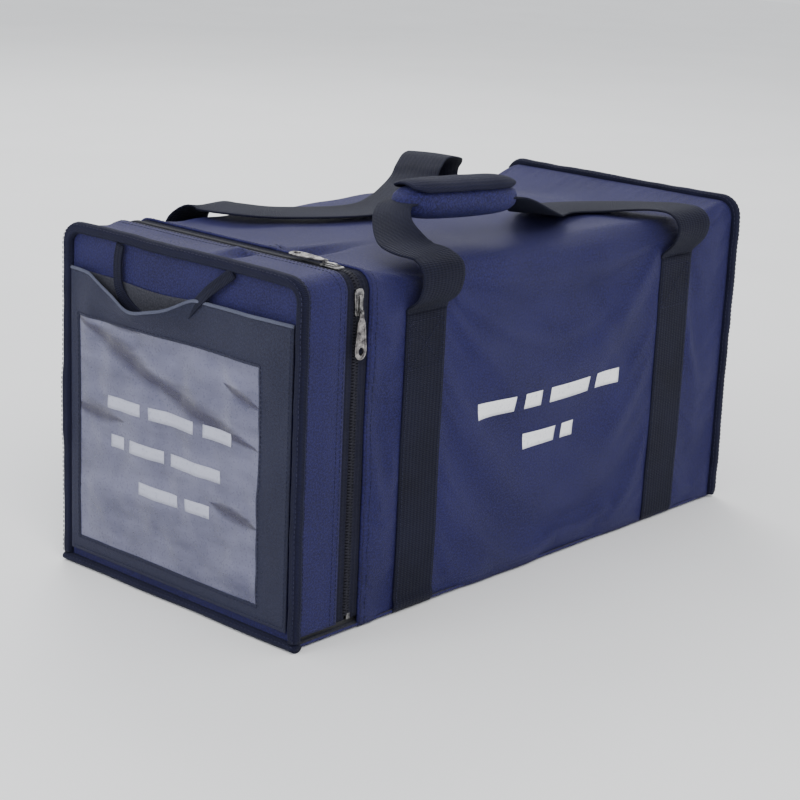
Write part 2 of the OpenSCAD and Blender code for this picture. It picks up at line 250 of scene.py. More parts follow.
def sweep_object(name, path, across, up, outline, material, closed=False):
    """An outline (k, 2) carried along a path: x of the outline goes along `across`, y along `up`."""
    across, up = np.broadcast_to(across, path.shape), np.broadcast_to(up, path.shape)
    n, k = len(path), len(outline)
    ring = path[:, None] + across[:, None] * outline[None, :, :1] + up[:, None] * outline[None, :, 1:]
    faces = grid_faces(n, k, closed_u=True, closed_v=True) if closed else tube_faces(n, k)
    girth = along_length(np.vstack([outline, outline[:1]]))[:-1]
    uv = np.stack(cross_grid(along_length(path), girth), -1).reshape(-1, 2)
    obj = mesh_object(name, ring.reshape(-1, 3), faces, material, uv)
    fix_normals(obj)
    return obj


def flat_outline(width, thick, side=5, wide=8):
    """Cross-section of webbing with rounded selvedges: side points on each, wide points on each face."""
    r = thick / 2
    x = np.linspace(-width / 2 + r, width / 2 - r, wide)
    bow = np.linspace(-90, 90, side + 2)[1:-1] * math.pi / 180
    right = np.stack([width / 2 - r + r * np.cos(bow), r * np.sin(bow)], 1)
    left = np.stack([-width / 2 + r - r * np.cos(bow), -r * np.sin(bow)], 1)
    face = np.stack([x, 0 * x - r], 1)
    return np.vstack([face, right, -face, left])


class Stitches:
    """Short thread lengths gathered into one mesh for each body."""

    def __init__(self):
        self.points, self.faces = [], []

    def row(self, path, normals, pitch=4.0, length=3.0, radius=0.32):
        line = even(np.hstack([path, np.broadcast_to(normals, path.shape)]), pitch)
        for a, b in zip(line[:-1], line[1:]):
            go = unit(b[:3] - a[:3])
            out = unit(a[3:])
            side = np.cross(go, out)
            mid = (a[:3] + b[:3]) / 2
            base = len(self.points)
            for place, size, lift in ((-0.5, 0.25, -0.25), (-0.3, 0.9, 0.1), (0.3, 0.9, 0.1), (0.5, 0.25, -0.25)):
                for k in range(5):
                    turn = k * ONE_TURN / 5
                    self.points.append(mid + go * place * length + out * radius * lift
                                       + radius * size * (out * math.sin(turn) + 1.2 * side * math.cos(turn)))
            self.faces += [tuple(base + i for i in f) for f in tube_faces(4, 5)]

    def build(self, name, material, body):
        obj = mesh_object(name, self.points, self.faces, material)
        fix_normals(obj)
        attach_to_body(obj, body)


# ---- Materials ----


class Nodes:
    """A small helper that adds and links shader nodes."""

    def __init__(self, name):
        self.material = bpy.data.materials.new(name)
        self.material.use_nodes = True
        self.tree = self.material.node_tree
        self.shader = self.tree.nodes["Principled BSDF"]

    def add(self, kind, inputs=None, **settings):
        node = self.tree.nodes.new(kind)
        for key, value in settings.items():
            setattr(node, key, value)
        for key, value in (inputs or {}).items():
            self.put(node.inputs[key], value)
        return node

    def put(self, socket, value):
        if isinstance(value, bpy.types.NodeSocket):
            self.tree.links.new(value, socket)
        else:
            socket.default_value = value

    def math(self, operation, a, b=0.0):
        return self.add("ShaderNodeMath", {0: a, 1: b}, operation=operation).outputs[0]

    def place(self, kind, scale=(1, 1, 1)):
        """Cloth coordinates in metres, or places in the frame, scaled."""
        if kind == "cloth":
            source = self.add("ShaderNodeUVMap", uv_map="cloth").outputs[0]
        else:
            source = self.add("ShaderNodeTexCoord").outputs["Object"]
        return self.add("ShaderNodeMapping", {"Vector": source, "Scale": scale}).outputs[0]

    def noise(self, where, scale, detail=3.0, rough=0.55):
        return self.add("ShaderNodeTexNoise", {"Vector": where, "Scale": scale, "Detail": detail,
                                               "Roughness": rough}).outputs["Fac"]

    def total(self, *parts):
        """The sum of values, each times its weight."""
        total = None
        for value, weight in parts:
            term = value if weight == 1 else self.math("MULTIPLY", value, weight)
            total = term if total is None else self.math("ADD", total, term)
        return total

    def mix(self, factor, *colours):
        mix = self.add("ShaderNodeMix", {"Factor": factor}, data_type="RGBA")
        for place, colour in zip((6, 7), colours):
            self.put(mix.inputs[place], colour if isinstance(colour, bpy.types.NodeSocket) else (*colour, 1))
        return mix.outputs[2]

    def ramp(self, value, low, high, a, b):
        """Colour a at low, colour b at high."""
        return self.mix(self.range(value, low, high, 0.0, 1.0), a, b)

    def range(self, value, low, high, a, b):
        return self.add("ShaderNodeMapRange", {"Value": value, "From Min": low, "From Max": high,
                                               "To Min": a, "To Max": b}).outputs[0]

    def bump(self, height, distance, strength):
        return self.add("ShaderNodeBump", {"Height": height, "Distance": distance, "Strength": strength}).outputs[0]

    def finish(self, **inputs):
        for key, value in inputs.items():
            self.put(self.shader.inputs[key.replace("_", " ")], value)
        return self.material

    def ribs(self, where, pitch, axis):
        """Ridges at that pitch in metres."""
        part = self.add("ShaderNodeSeparateXYZ", {0: where}).outputs[axis]
        return self.math("SINE", self.math("MULTIPLY", part, ONE_TURN / pitch))


def woven(name, dark, light, pitch=0.0011, kind="cloth", rough=0.6, sheen=0.06, fade=None):
    """Plain-weave cloth: warp and weft cross in a chequer, with uneven dye and a faint bloom."""
    n = Nodes(name)
    where = n.place(kind)
    warp, weft = n.ribs(where, pitch, 0), n.ribs(where, pitch, 1)
    weave = n.math("MULTIPLY", warp, weft)
    grain = n.noise(where, 1100, 2.0)
    slub = n.noise(n.place(kind, (1, 0.12, 1)), 700, 2.0)
    cloud = n.noise(n.place("object"), 14, 4.0)
    mottle = n.noise(where, 430, 3.0, 0.75)
    tone = n.total((weave, 0.16), (mottle, 0.9), (cloud, 0.5), (slub, 0.35))
    colour = n.ramp(tone, 0.62, 1.16, dark, light)
    speck = n.noise(where, 620, 1.0, 0.5)
    colour = n.mix(n.range(speck, 0.42, 0.62, 0.0, 0.5), colour, [1.7 * c for c in light])
    if fade is not None:
        worn = n.range(n.noise(n.place("object"), 9, 5.0, 0.65), 0.52, 0.72, 0.0, 0.45)
        colour = n.mix(worn, colour, fade)
    normal = n.bump(n.total((weave, 1), (grain, 0.8), (mottle, 2.2)), 0.0003, 0.7)
    roughness = n.range(mottle, 0.3, 0.7, rough - 0.08, rough + 0.1)
    return n.finish(Base_Color=colour, Roughness=roughness, Normal=normal, Sheen_Weight=sheen, Sheen_Roughness=0.45,
                    Specular_IOR_Level=0.22, Sheen_Tint=(0.45, 0.47, 0.95, 1))


def webbing(name, dark, light, rib=0.0017):
    """Flat webbing: ribs across and a herringbone along."""
    n = Nodes(name)
    where = n.place("cloth")
    cross_ribs = n.ribs(where, rib, 0)
    lanes = n.ribs(where, 0.0042, 1)
    twill = n.ribs(n.add("ShaderNodeMapping", {"Vector": where, "Rotation": (0, 0, 0.6)}).outputs[0], 0.0012, 0)
    fuzz = n.noise(where, 900, 3.0)
    cloud = n.noise(n.place("object"), 22, 4.0)
    tone = n.total((cross_ribs, 0.12), (fuzz, 0.7), (cloud, 0.55), (lanes, 0.05))
    colour = n.ramp(tone, 0.35, 1.0, dark, light)
    height = n.total((cross_ribs, 1), (twill, 0.5), (fuzz, 0.9), (lanes, 0.6))
    return n.finish(Base_Color=colour, Roughness=n.range(fuzz, 0.3, 0.7, 0.66, 0.86),
                    Normal=n.bump(height, 0.00025, 0.7), Sheen_Weight=0.04, Sheen_Roughness=0.5,
                    Specular_IOR_Level=0.14, Sheen_Tint=(0.6, 0.65, 0.8, 1))


def metal(name, bright, tarnish, rough=0.28):
    n = Nodes(name)
    where = n.place("object")
    grit = n.noise(where, 900, 4.0, 0.7)
    wear = n.noise(where, 160, 4.0, 0.65)
    colour = n.ramp(wear, 0.38, 0.62, tarnish, bright)
    return n.finish(Base_Color=colour, Metallic=1.0, Roughness=n.range(grit, 0.3, 0.7, rough, rough + 0.22),
                    Normal=n.bump(n.math("ADD", grit, wear), 0.0003, 0.5))


def moulded(name, dark, light, rough=0.4, scale=300, shine=0.5):
    n = Nodes(name)
    where = n.place("object")
    grain = n.noise(where, scale, 4.0, 0.6)
    return n.finish(Base_Color=n.ramp(grain, 0.35, 0.65, dark, light),
                    Roughness=n.range(grain, 0.3, 0.7, rough, rough + 0.15), Specular_IOR_Level=shine,
                    Normal=n.bump(n.noise(where, 1500, 2.0), 0.0001, 0.4))


# Folds of the window film, which also place its painted shade lines: (y, z) of one end, (y, z) of the other, half
# width, in mm
FILM_FOLDS = [((126, 226), (-12, 174), 12.0), ((48, 192), (-100, 157), 11.0), ((132, 147), (62, 145), 8.0),
              ((-40, 100), (-100, 93), 7.0), ((108, 233), (40, 224), 4.0), ((-56, 206), (-99, 190), 6.0)]


def vinyl_with_painted_reflection(name):
    """Hazy clear film with creases; its milky grey colour is partly real haze and partly a painted reflection, with
    painted shade along its folds.
    """
    n = Nodes(name)
    where = n.place("object")
    streak = n.noise(n.add("ShaderNodeMapping", {"Vector": where, "Rotation": (0.75, 0, 0), "Scale": (1, 1, 5)})
                     .outputs[0], 9, 5.0, 0.6)
    haze_and_painted_reflection = n.noise(where, 30, 5.0, 0.6)
    fine = n.noise(where, 420, 3.0)
    # The milky grey from the streak and haze noise is partly real haze and partly a painted reflection of the bright
    # surroundings
    colour = n.ramp(n.total((streak, 0.7), (haze_and_painted_reflection, 0.4)), 0.4, 0.68, (0.060, 0.062, 0.118), (0.135, 0.138, 0.225))
    # Painted shade: dark, wavering lines along the folds stand in for the dark reflections and shade in the creases
    parts = n.add("ShaderNodeSeparateXYZ", {0: where}).outputs
    dark = 0.0
    for (y0, z0), (y1, z1), half in FILM_FOLDS:
        run = n.range(parts[1], y0 * MM, y1 * MM, 0.0, 1.0)
        line = n.range(parts[1], y0 * MM, y1 * MM, z0 * MM, z1 * MM)
        waver = n.math("MULTIPLY", n.math("SUBTRACT", streak, 0.5), 0.016)
        away = n.math("ABSOLUTE", n.math("ADD", n.math("SUBTRACT", parts[2], line), waver))
        ends = n.math("SINE", n.math("MULTIPLY", run, math.pi))
        reach = n.math("MULTIPLY", ends, half * MM)
        crease_shade = n.range(n.math("DIVIDE", away, n.math("MAXIMUM", reach, 1e-5)), 0.35, 1.2, 1.0, 0.0)
        dark = n.math("MAXIMUM", crease_shade, dark)
    # The painted shade of the folds is mixed into the colour here
    colour = n.mix(n.math("MULTIPLY", dark, 0.96), colour, (0.009, 0.007, 0.040))
    n.material.blend_method = "BLEND"
    return n.finish(Base_Color=colour, Roughness=n.range(fine, 0.3, 0.7, 0.22, 0.42), Alpha=0.82, IOR=1.5,
                    Coat_Weight=0.35, Coat_Roughness=0.18,
                    Normal=n.bump(n.total((streak, 1), (fine, 0.08)), 0.0012, 0.5))


def ink(name, thin, full):
    """Screen print: the weave shows through a thin pale film that has cracked a little."""
    n = Nodes(name)
    where = n.place("object")
    crack = n.noise(where, 420, 5.0, 0.7)
    weave = n.noise(where, 1500, 2.0)
    return n.finish(Base_Color=n.ramp(crack, 0.3, 0.45, thin, full), Roughness=0.55,
                    Normal=n.bump(weave, 0.00025, 0.6))


NYLON = woven("navy_nylon", (0.0022, 0.0022, 0.019), (0.0145, 0.0130, 0.082), fade=(0.022, 0.021, 0.090))
NYLON_END = woven("navy_nylon_end", (0.0025, 0.0025, 0.019), (0.015, 0.014, 0.075))
PAD_CLOTH = woven("pad_nylon", (0.003, 0.003, 0.024), (0.016, 0.015, 0.085), kind="object", sheen=0.08)
# Grey coated lining, its colour darkened as painted shade for the inside of the bag
LINING_PAINTED_SHADE = woven("coated_lining_painted_shade", (0.012, 0.012, 0.018), (0.035, 0.036, 0.045), rough=0.5, sheen=0.05)
WEBBING = webbing("charcoal_webbing", (0.0018, 0.002, 0.006), (0.0105, 0.0113, 0.031))
BINDING = webbing("binding_tape", (0.002, 0.0022, 0.009), (0.0105, 0.011, 0.038), rib=0.0012)
POCKET_CLOTH = woven("pocket_cloth", (0.004, 0.0045, 0.013), (0.0130, 0.0150, 0.034), pitch=0.0009, rough=0.5,
                     sheen=0.08)
# Edge tape of the pocket lip: a real tape, its pale colour a painted highlight along the lip
PAINTED_HIGHLIGHT_TAPE = webbing("pocket_edge_tape_painted_highlight", (0.05, 0.055, 0.085), (0.13, 0.14, 0.20), rib=0.001)
ZIP_TAPE = webbing("zip_tape", (0.003, 0.003, 0.009), (0.015, 0.015, 0.036), rib=0.0010)
COIL = moulded("zip_coil", (0.005, 0.005, 0.009), (0.020, 0.020, 0.030), 0.55, 500, 0.15)
THREAD = moulded("thread", (0.006, 0.006, 0.018), (0.026, 0.027, 0.060), 0.65, 900, 0.2)
METAL = metal("worn_nickel", (0.40, 0.38, 0.37), (0.05, 0.045, 0.05))
METAL_DARK = metal("slider_metal", (0.34, 0.33, 0.32), (0.07, 0.07, 0.075), 0.33)
# Window film: milky grey partly as a painted reflection, with painted shade along its folds
FILM_PAINTED_REFLECTION = vinyl_with_painted_reflection("window_film")
INK = ink("white_print", (0.55, 0.56, 0.62), (0.88, 0.89, 0.92))
INK_DULL = ink("grey_print", (0.24, 0.245, 0.33), (0.38, 0.39, 0.48))
BOARD = moulded("stiffening_board", (0.02, 0.02, 0.024), (0.05, 0.05, 0.055), 0.55, 60)
HOOK = moulded("hook_tape", (0.01, 0.01, 0.012), (0.04, 0.04, 0.045), 0.8, 1500)

thread_bag, thread_flap = Stitches(), Stitches()

# ---- The body surface ----
# Places on the cloth are (x, q): q runs -3 to 3 round the bag, from the front foot (-3) up the front face to the
# front edge (-2 to -1), over the top (-1 to 1), round the rear edge and down to the rear foot (3).

Q_STEP = 95.0  # about how far one step of q goes, in mm
WRINKLES = 1.6  # how much stronger the slanting folds are than their depths say

def held(x):
    """0 at the stiff ends of the bag and along the zip, where its sliders run straight, 1 where the cloth is free."""
    return smooth((END_X - 8 - np.abs(x)) / 55) * smooth((np.abs(x - ZIP_X) - 14) / 22)


def edge_r(x):
    """Radius of the two long edges at the top."""
    return CORNER_R + 9 * held(x)


def top_height(x, q):
    """Height of the top: it sags between the ends, dips before the closed end and rises over the zip end."""
    slump = 2.0 * held(x)
    dip = 8 * bell((x - 232) / 34) * (0.75 + 0.25 * np.clip(q, -1, 1))
    cap_lift = 1.5 * bell((x + 262) / 26)
    return TOP_Z - slump - dip + cap_lift


def creases(x, q):
    """Folds that the cloth shows when the bag stands empty: depth inwards, in mm."""
    y = np.clip(q, -1, 1) * FACE_Y
    shown = smooth((1.25 - np.abs(q)) * 4) * smooth((np.abs(x - ZIP_X) - 13) / 9)
    line = y + 0.08 * (x + 230)
    fold = 8.0 * bell((line + 44) / 6) * bell((x + 215) / 60)
    ridge = 5.0 * bell((line + 30) / 9) * bell((x + 215) / 62)
    return (fold - ridge) * shown + slants(x, q)


# Slanting folds on the two long faces: (x, height) of one end, of the other, depth and half width, in mm
SLANTS = [((-95, 282), (45, 215), 2.6, 11), ((-70, 240), (70, 190), 1.8, 12), ((20, 275), (160, 235), 2.0, 13),
          ((-100, 175), (20, 120), 1.6, 14), ((30, 120), (165, 60), 1.9, 15), ((228, 262), (262, 110), 2.2, 9),
          ((-205, 230), (-190, 90), 1.6, 8), ((-90, 90), (-10, 30), 1.6, 12), ((60, 262), (165, 150), 1.5, 12)]


def slants(x, q):
    """Depth of the slanting folds: each is a groove with a lower ridge on one side."""
    height = EDGE_Z - (np.abs(q) - 2) * WALL_HEIGHT
    total = 0.0
    for (x0, z0), (x1, z1), depth, half in SLANTS:
        run = ((x - x0) * (x1 - x0) + (height - z0) * (z1 - z0)) / ((x1 - x0) ** 2 + (z1 - z0) ** 2)
        away = ((x - x0) * (z1 - z0) - (height - z0) * (x1 - x0)) / math.hypot(x1 - x0, z1 - z0)
        total = total + depth * bell((run - 0.5) / 0.42) * (bell(away / half) - 0.6 * bell((away - 1.7 * half) / half))
    return WRINKLES * total * smooth((np.abs(q) - 1.5) * 2) * held(x)


def drift(x, q):
    """Slow uneven swell of the walls, in mm outwards."""
    at = (x, q * Q_STEP)
    side = smooth(np.abs(q) - 1.3)
    belly = 3.0 * np.sin(math.pi * np.clip((3.05 - np.abs(q)) / 2, 0, 1)) * side * np.cos(x / 300 * math.pi / 2.4)
    slack = 1.6 * noise(at, 210, 3) + 0.8 * noise(at, 90, 4)
    middle = -1.0 * (1 - np.square(np.clip(q / 1.35, -1, 1))) * (np.abs(q) < 1.35)
    sewn = np.maximum(bell((x - LEFT_X) / 40), bell((x - RIGHT_X) / 40)) * bell((np.abs(q) - 2.1) / 0.4)
    return (belly + slack + middle) * held(x) * (1 - sewn)


def surface(x, q, off=0.0):
    """Points and outward normals of the cloth at (x, q), moved outwards by off."""
    x, q = np.broadcast_arrays(np.asarray(x, float), np.asarray(q, float))
    side, a = np.sign(q), np.abs(q)
    r, top = edge_r(x), top_height(x, q)
    turn = np.clip(a - 1, 0, 1) * math.pi / 2
    y = np.where(a < 1, a * (FACE_Y - r), FACE_Y - r + r * np.sin(turn))
    z = np.where(a < 1, top, top - r + r * np.cos(turn))
    z = np.where(a > 2, (top - r) - (a - 2) * (top - r - BASE_Z), z)
    ny, nz = np.sin(turn) * side, np.cos(turn)
    out = off + drift(x, q) - creases(x, q)
    normal = np.stack([0 * x, ny, nz], -1)
    point = np.stack([x, side * y, z], -1) + normal * np.asarray(out)[..., None]
    return point, normal


def round_bag(spacing=4.2):
    """Values of q spaced about evenly round the bag, from foot to foot."""
    up = np.linspace(-3, -2, int(WALL_HEIGHT / spacing) + 1)[:-1]
    bend = np.linspace(-2, -1, int(45 / spacing) + 1)[:-1]
    over = np.linspace(-1, 1, int(2 * (FACE_Y - 25) / spacing) + 1)
    return np.concatenate([up, bend, over, -bend[::-1], -up[::-1]])


def foot_q(z):
    """q on the front face at that height."""
    return -2 - (EDGE_Z - z) / WALL_HEIGHT


def above(height, qs):
    """The values of q that lie above that height."""
    return qs[(qs > foot_q(height)) & (qs < -foot_q(height))]


# ---- Cloth wall of the body ----


def drape(obj, pin, frames, cap, shrink=-0.009, stiff=12.0, bend=2.0, gravity=0.25, pressure=0.0):
    """Runs Blender's cloth on obj with pinned places, then keeps the result, no point moving more than cap mm."""
    group = obj.vertex_groups.new(name="pin")
    for i, w in enumerate(pin):
        if w > 0:
            group.add([i], float(w), "REPLACE")
    solids = list(obj.modifiers)
    for m in solids:
        m.show_viewport = False
    rest = np.array([v.co for v in obj.data.vertices])
    cloth = obj.modifiers.new("Cloth", "CLOTH")
    s = cloth.settings
    s.quality = 6
    s.mass = 0.25
    s.tension_stiffness = s.compression_stiffness = stiff
    s.shear_stiffness = stiff / 3
    s.bending_stiffness = bend
    s.tension_damping = s.compression_damping = s.shear_damping = 8
    s.bending_damping = 1.0
    s.air_damping = 3
    s.vertex_group_mass = "pin"
    s.shrink_min = shrink
    s.effector_weights.gravity = gravity
    if pressure:
        s.use_pressure = True
        s.uniform_pressure_force = pressure
    cloth.collision_settings.use_collision = False
    scene = bpy.context.scene
    scene.frame_start = 1
    for f in range(1, frames + 1):
        scene.frame_set(f)
    done = obj.evaluated_get(bpy.context.evaluated_depsgraph_get())
    moved = np.array([v.co for v in done.data.vertices])
    obj.modifiers.remove(cloth)
    scene.frame_set(1)
    step = moved - rest
    size = np.linalg.norm(step, axis=1, keepdims=True)
    step *= np.tanh(size / (cap * MM)) * (cap * MM) / np.maximum(size, 1e-9)
    obj.data.vertices.foreach_set("co", (rest + step).astype(np.float32).ravel())
    obj.vertex_groups.remove(group)
    for m in solids:
        m.show_viewport = True
    obj.data.update()


def body_shell():
    xs = np.linspace(BODY_EDGE, SHELL_X, 108)
    qs = round_bag(4.8)
    points, _ = surface(xs[:, None], qs[None])
    obj = sheet_object("body_cloth", points, NYLON, 2.0, flip=True, lining=LINING_PAINTED_SHADE)
    x, q = cross_grid(xs, qs)
    pin = (np.abs(x - BODY_EDGE) < 2) | (np.abs(x - SHELL_X) < 6) | (np.abs(q) > 2.97)
    for strap in (LEFT_X, RIGHT_X):
        pin |= (np.abs(x - strap) < 28) & (np.abs(q) > 1.85)
    drape(obj, pin.ravel(), 18, 4.0)
    return attach(obj, "bag", "nylon", "body_wrap")


def tree_of(obj):
    """The finished surface of obj, for casting rays."""
    return BVHTree.FromObject(obj, bpy.context.evaluated_depsgraph_get())


def hug(points, normals, tree, off, reach=30.0):
    """Points dropped on to a surface along their normals, standing off it by off mm."""
    out = []
    for p, n in zip(points.reshape(-1, 3), normals.reshape(-1, 3)):
        start = Vector((p + n * reach) * MM)
        hit, _, _, _ = tree.ray_cast(start, Vector(-n), 2 * reach * MM)
        out.append(p if hit is None else np.array(hit) / MM + n * off)
    return np.array(out).reshape(points.shape)


body_tree = tree_of(body_shell())


def gusset():
    xs = np.linspace(-SHELL_X, CAP_EDGE, 13)
    qs = above(HINGE_Z, round_bag())
    points, _ = surface(xs[:, None], qs[None])
    obj = sheet_object("cap_gusset", points, NYLON, 2.0, flip=True, lining=LINING_PAINTED_SHADE)
    attach(obj, "end_flap", "nylon", "flap_gusset")
    for inset in HEMS:
        p, n = surface(CAP_EDGE - inset, qs)
        thread_flap.row(p + n * 0.1, n)


gusset()
for hem in HEMS:
    hem_points, hem_normals = surface(BODY_EDGE + hem, round_bag())
    thread_bag.row(hug(hem_points, hem_normals, body_tree, 0.1), hem_normals)


# ---- Zip ----


def zip_tapes():
    qs = above(TAPE_FOOT, round_bag())
    for name, x0, x1, body_name, node in (
            ("body_side_tape", ZIP_X + 1.2, BODY_EDGE + 7, "bag", "body_zip_tape"),
            ("cap_side_tape", CAP_EDGE - 7, ZIP_X - 1.2, "end_flap", "flap_zip_tape")):
        xs = np.linspace(x0, x1, 15)
        points, normals = surface(xs[:, None], qs[None], -2.5)
        ridge = 0.45 * np.cos((xs - ZIP_X) / 4.1 * ONE_TURN)
        points = points + normals * ridge[:, None, None]
        obj = sheet_object(name, points, ZIP_TAPE, 1.0, flip=True)
        attach(obj, body_name, "zip_tape", node)


def teeth(name, side, body_name, node):
    """One side of the coil: a loop of filament at every pitch, hooked at its head, along the whole U."""
    pitch = 2.5
    q = np.linspace(foot_q(ZIP_FOOT), -foot_q(ZIP_FOOT), 900)
    line, normals = surface(ZIP_X, q, -TAPE_DEPTH + 0.8)
    rows = even(np.hstack([line, normals]), pitch)
    points, faces = [], []
    middles = rows[:-1] + (rows[1:] - rows[:-1]) * (0.25 + 0.25 * side)
    go = unit(rows[1:, :3] - rows[:-1, :3])
    for centre, way in zip(middles, go):
        p, up = centre[:3], unit(centre[3:])
        base = len(points)
        # root, neck and head of a tooth, across the chain: (place, half length, half height)
        for place, long, high in ((3.6, 0.75, 0.45), (2.6, 0.85, 1.15), (0.4, 0.8, 1.25), (-0.9, 1.05, 1.05),
                                  (-1.35, 0.6, 0.5)):
            for a, b in ((-1, -1), (1, -1), (1, 1), (-1, 1)):
                points.append(p + np.array([side * place, 0, 0]) + way * a * long + up * b * high)
        faces += [tuple(base + i for i in f) for f in tube_faces(5, 4)]
    obj = mesh_object(name, points, faces, COIL)
    fix_normals(obj)
    soften(obj, 0.25, 1)
    attach(obj, body_name, "teeth", node)


zip_tapes()
teeth("body_teeth", 1, "bag", "body_zip_teeth")
teeth("cap_teeth", -1, "end_flap", "flap_zip_teeth")

# ---- Bound seams ----


def rim_path(foot, closed, rise):
    """The line round an end of the bag in (y, z), from foot to foot or, if closed, all round."""
    r = CORNER_R + rise
    hw, top = FACE_Y + rise, TOP_Z + rise
    arc = np.linspace(0, math.pi / 2, 12)
    front = [(-hw, z) for z in np.linspace(foot, top - r, 60)[:-1]]
    corner = [(-hw + r - r * math.cos(a), top - r + r * math.sin(a)) for a in arc]
    over = [(y, top) for y in np.linspace(-hw + r, hw - r, 60)[1:-1]]
    line = mirrored(front, corner, over)
    if closed:
        base = [(y, foot) for y in np.linspace(hw, -hw, 70)[1:-1]]
        line = np.vstack([line, base])
    return line


def mirrored(front, corner, middle):
    """A line in (y, z) up the front, round a corner, over, and down the back."""
    return np.array(front + corner + middle + [(-y, z) for y, z in corner[::-1] + front[::-1]])


def outwards(line, turn):
    """Directions square to a line in (y, z), away from the middle of the bag, in its plane and in space."""
    out = unit(np.stack([-turn[:, 1], turn[:, 0]], 1))
    out *= np.sign(((line - [0, TOP_Z / 2]) * out).sum(1))[:, None]
    return out, np.hstack([np.zeros((len(out), 1)), out])


def seam_binding(name, x_mid, foot, closed, body_name, node, threads, seed):
    """A rounded bead of folded tape along an end of the bag, with a row of stitches on each side."""
    spacing = 3.5
    line = rim_path(foot, closed, 0.6)
    if closed:
        line = even(np.vstack([line, line[:1]]), spacing)[:-1]
        turn = np.roll(line, -1, 0) - np.roll(line, 1, 0)
    else:
        line = even(line, spacing)
        turn = np.gradient(line, axis=0)
    out, up = outwards(line, turn)
    at = (*line.T, seed * 50.0)
    wobble_x = 0.7 * noise(at, 120, seed) + 0.3 * noise(at, 40, seed + 1)
    wobble_r = 0.4 * noise(at, 90, seed + 2) + 0.25 * noise(at, 30, seed + 3)
    lift = np.where(line[:, 1] < 12, 0.0, wobble_r) if closed else wobble_r
    path = np.stack([x_mid + wobble_x, *(line.T + out.T * lift)], 1)
    half, rise, sink = 5.6, 4.4, 5.6
    outline = [(half * math.cos(a) * (0.82 + 0.18 * abs(math.sin(a))), (rise if a < math.pi else sink) * math.sin(a))
               for a in np.linspace(0, ONE_TURN, 22)[:-1]]
    obj = sweep_object(name, path, ALONG, up, np.array(outline), BINDING, closed=closed)
    attach(obj, body_name, "binding", node)
    for side in (-1, 1):
        skew = unit(up * 0.55 + ALONG * side * 0.85)
        row = path + up * 2.6 + ALONG * side * 4.9
        if closed:
            row, skew = np.vstack([row, row[:1]]), np.vstack([skew, skew[:1]])
        threads.row(row, skew, *SEAM_STITCH)


BEAD_X = END_X - 5.8
SEAM_STITCH = (4.2, 3.0, 0.36)
seam_binding("fixed_end_seam", BEAD_X, BASE_Z + 3.7, True, "bag", "fixed_end_binding", thread_bag, 11)
seam_binding("cap_seam", -BEAD_X, HINGE_Z + 0.8, False, "end_flap", "flap_binding", thread_flap, 21)


def hinge_seam():
    y = np.linspace(-FACE_Y - 3.5, FACE_Y + 3.5, 75)
    path = np.stack([-BEAD_X + 0.5 * noise((y, 0.0), 110, 31), y, 3.9 + 0 * y], 1)
    outline = np.array(circle(0, 0, 5.4, 18, 3.7 / 5.4))
    obj = sweep_object("hinge_seam", path, ALONG, UPWARDS, outline, BINDING)
    attach(obj, "bag", "binding", "hinge_binding")
    thread_bag.row(path + [-4.6, 0, 1.8], (-0.9, 0, 0.4), *SEAM_STITCH)
    # The cloth hinge itself: a flat strip from the seam up into the foot of the flap
    y = np.linspace(-FACE_Y + 2, FACE_Y - 2, 60)
    z = np.linspace(5.0, HINGE_Z + 9, 10)
    grid = np.stack(np.broadcast_arrays(-PANEL_X - 0.4 + 0 * z[None], y[:, None], z[None]), -1)
    tape = sheet_object("hinge_cloth", grid, NYLON_END, 0.8)
    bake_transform(tape)


hinge_seam()

# ---- End panels and base ----


def end_cloth(name, x, side, low, bulge, body_name, node, material, seed):
    """A panel of cloth inside a bound end, swelling slightly outwards."""
    y = np.linspace(-FACE_Y - 1, FACE_Y + 1, 90)
    z = np.linspace(low, TOP_Z + 1, 96)
    yy, zz = cross_grid(y, z)
    rim = smooth((FACE_Y - np.abs(yy)) / 55) * smooth((TOP_Z - zz) / 55) * smooth((zz - low) / 45)
    swell = bulge * (1 + 0.33 * noise((yy, zz), 150, seed) + 0.13 * noise((yy, zz), 60, seed + 1)) * rim
    inside = np.hypot(np.clip(np.abs(yy) - (FACE_Y - CORNER_R), 0, None),
                      np.clip(zz - (TOP_Z - CORNER_R), 0, None)) < CORNER_R + 1.5
    grid = np.stack([x + side * swell, yy, zz], -1)
    keep = inside[:-1, :-1] & inside[1:, 1:] & inside[1:, :-1] & inside[:-1, 1:]
    obj = sheet_object(name, grid, material, 2.0, keep=keep, flip=side > 0, lining=LINING_PAINTED_SHADE)
    attach(obj, body_name, "nylon", node)


end_cloth("fixed_end_cloth", PANEL_X, 1, BASE_Z + 1, 4.0, "bag", "fixed_end_panel", NYLON, 41)
end_cloth("cap_face", -PANEL_X, -1, HINGE_Z, 0.8, "end_flap", "flap_panel", NYLON_END, 51)


def base_cloth():
    xs = np.linspace(-SHELL_X, SHELL_X, 60)
    ys = np.linspace(-FACE_Y + 0.3, FACE_Y - 0.3, 30)
    xx, yy = cross_grid(xs, ys)
    grid = np.stack([xx, yy, BASE_Z + 0.2 + 0.25 * noise((xx, yy), 120, 61)], -1)
    obj = sheet_object("base_cloth", grid, NYLON, 2.2, lining=LINING_PAINTED_SHADE)
    attach(obj, "bag", "nylon", "bottom_panel")


base_cloth()

# ---- Carry straps ----


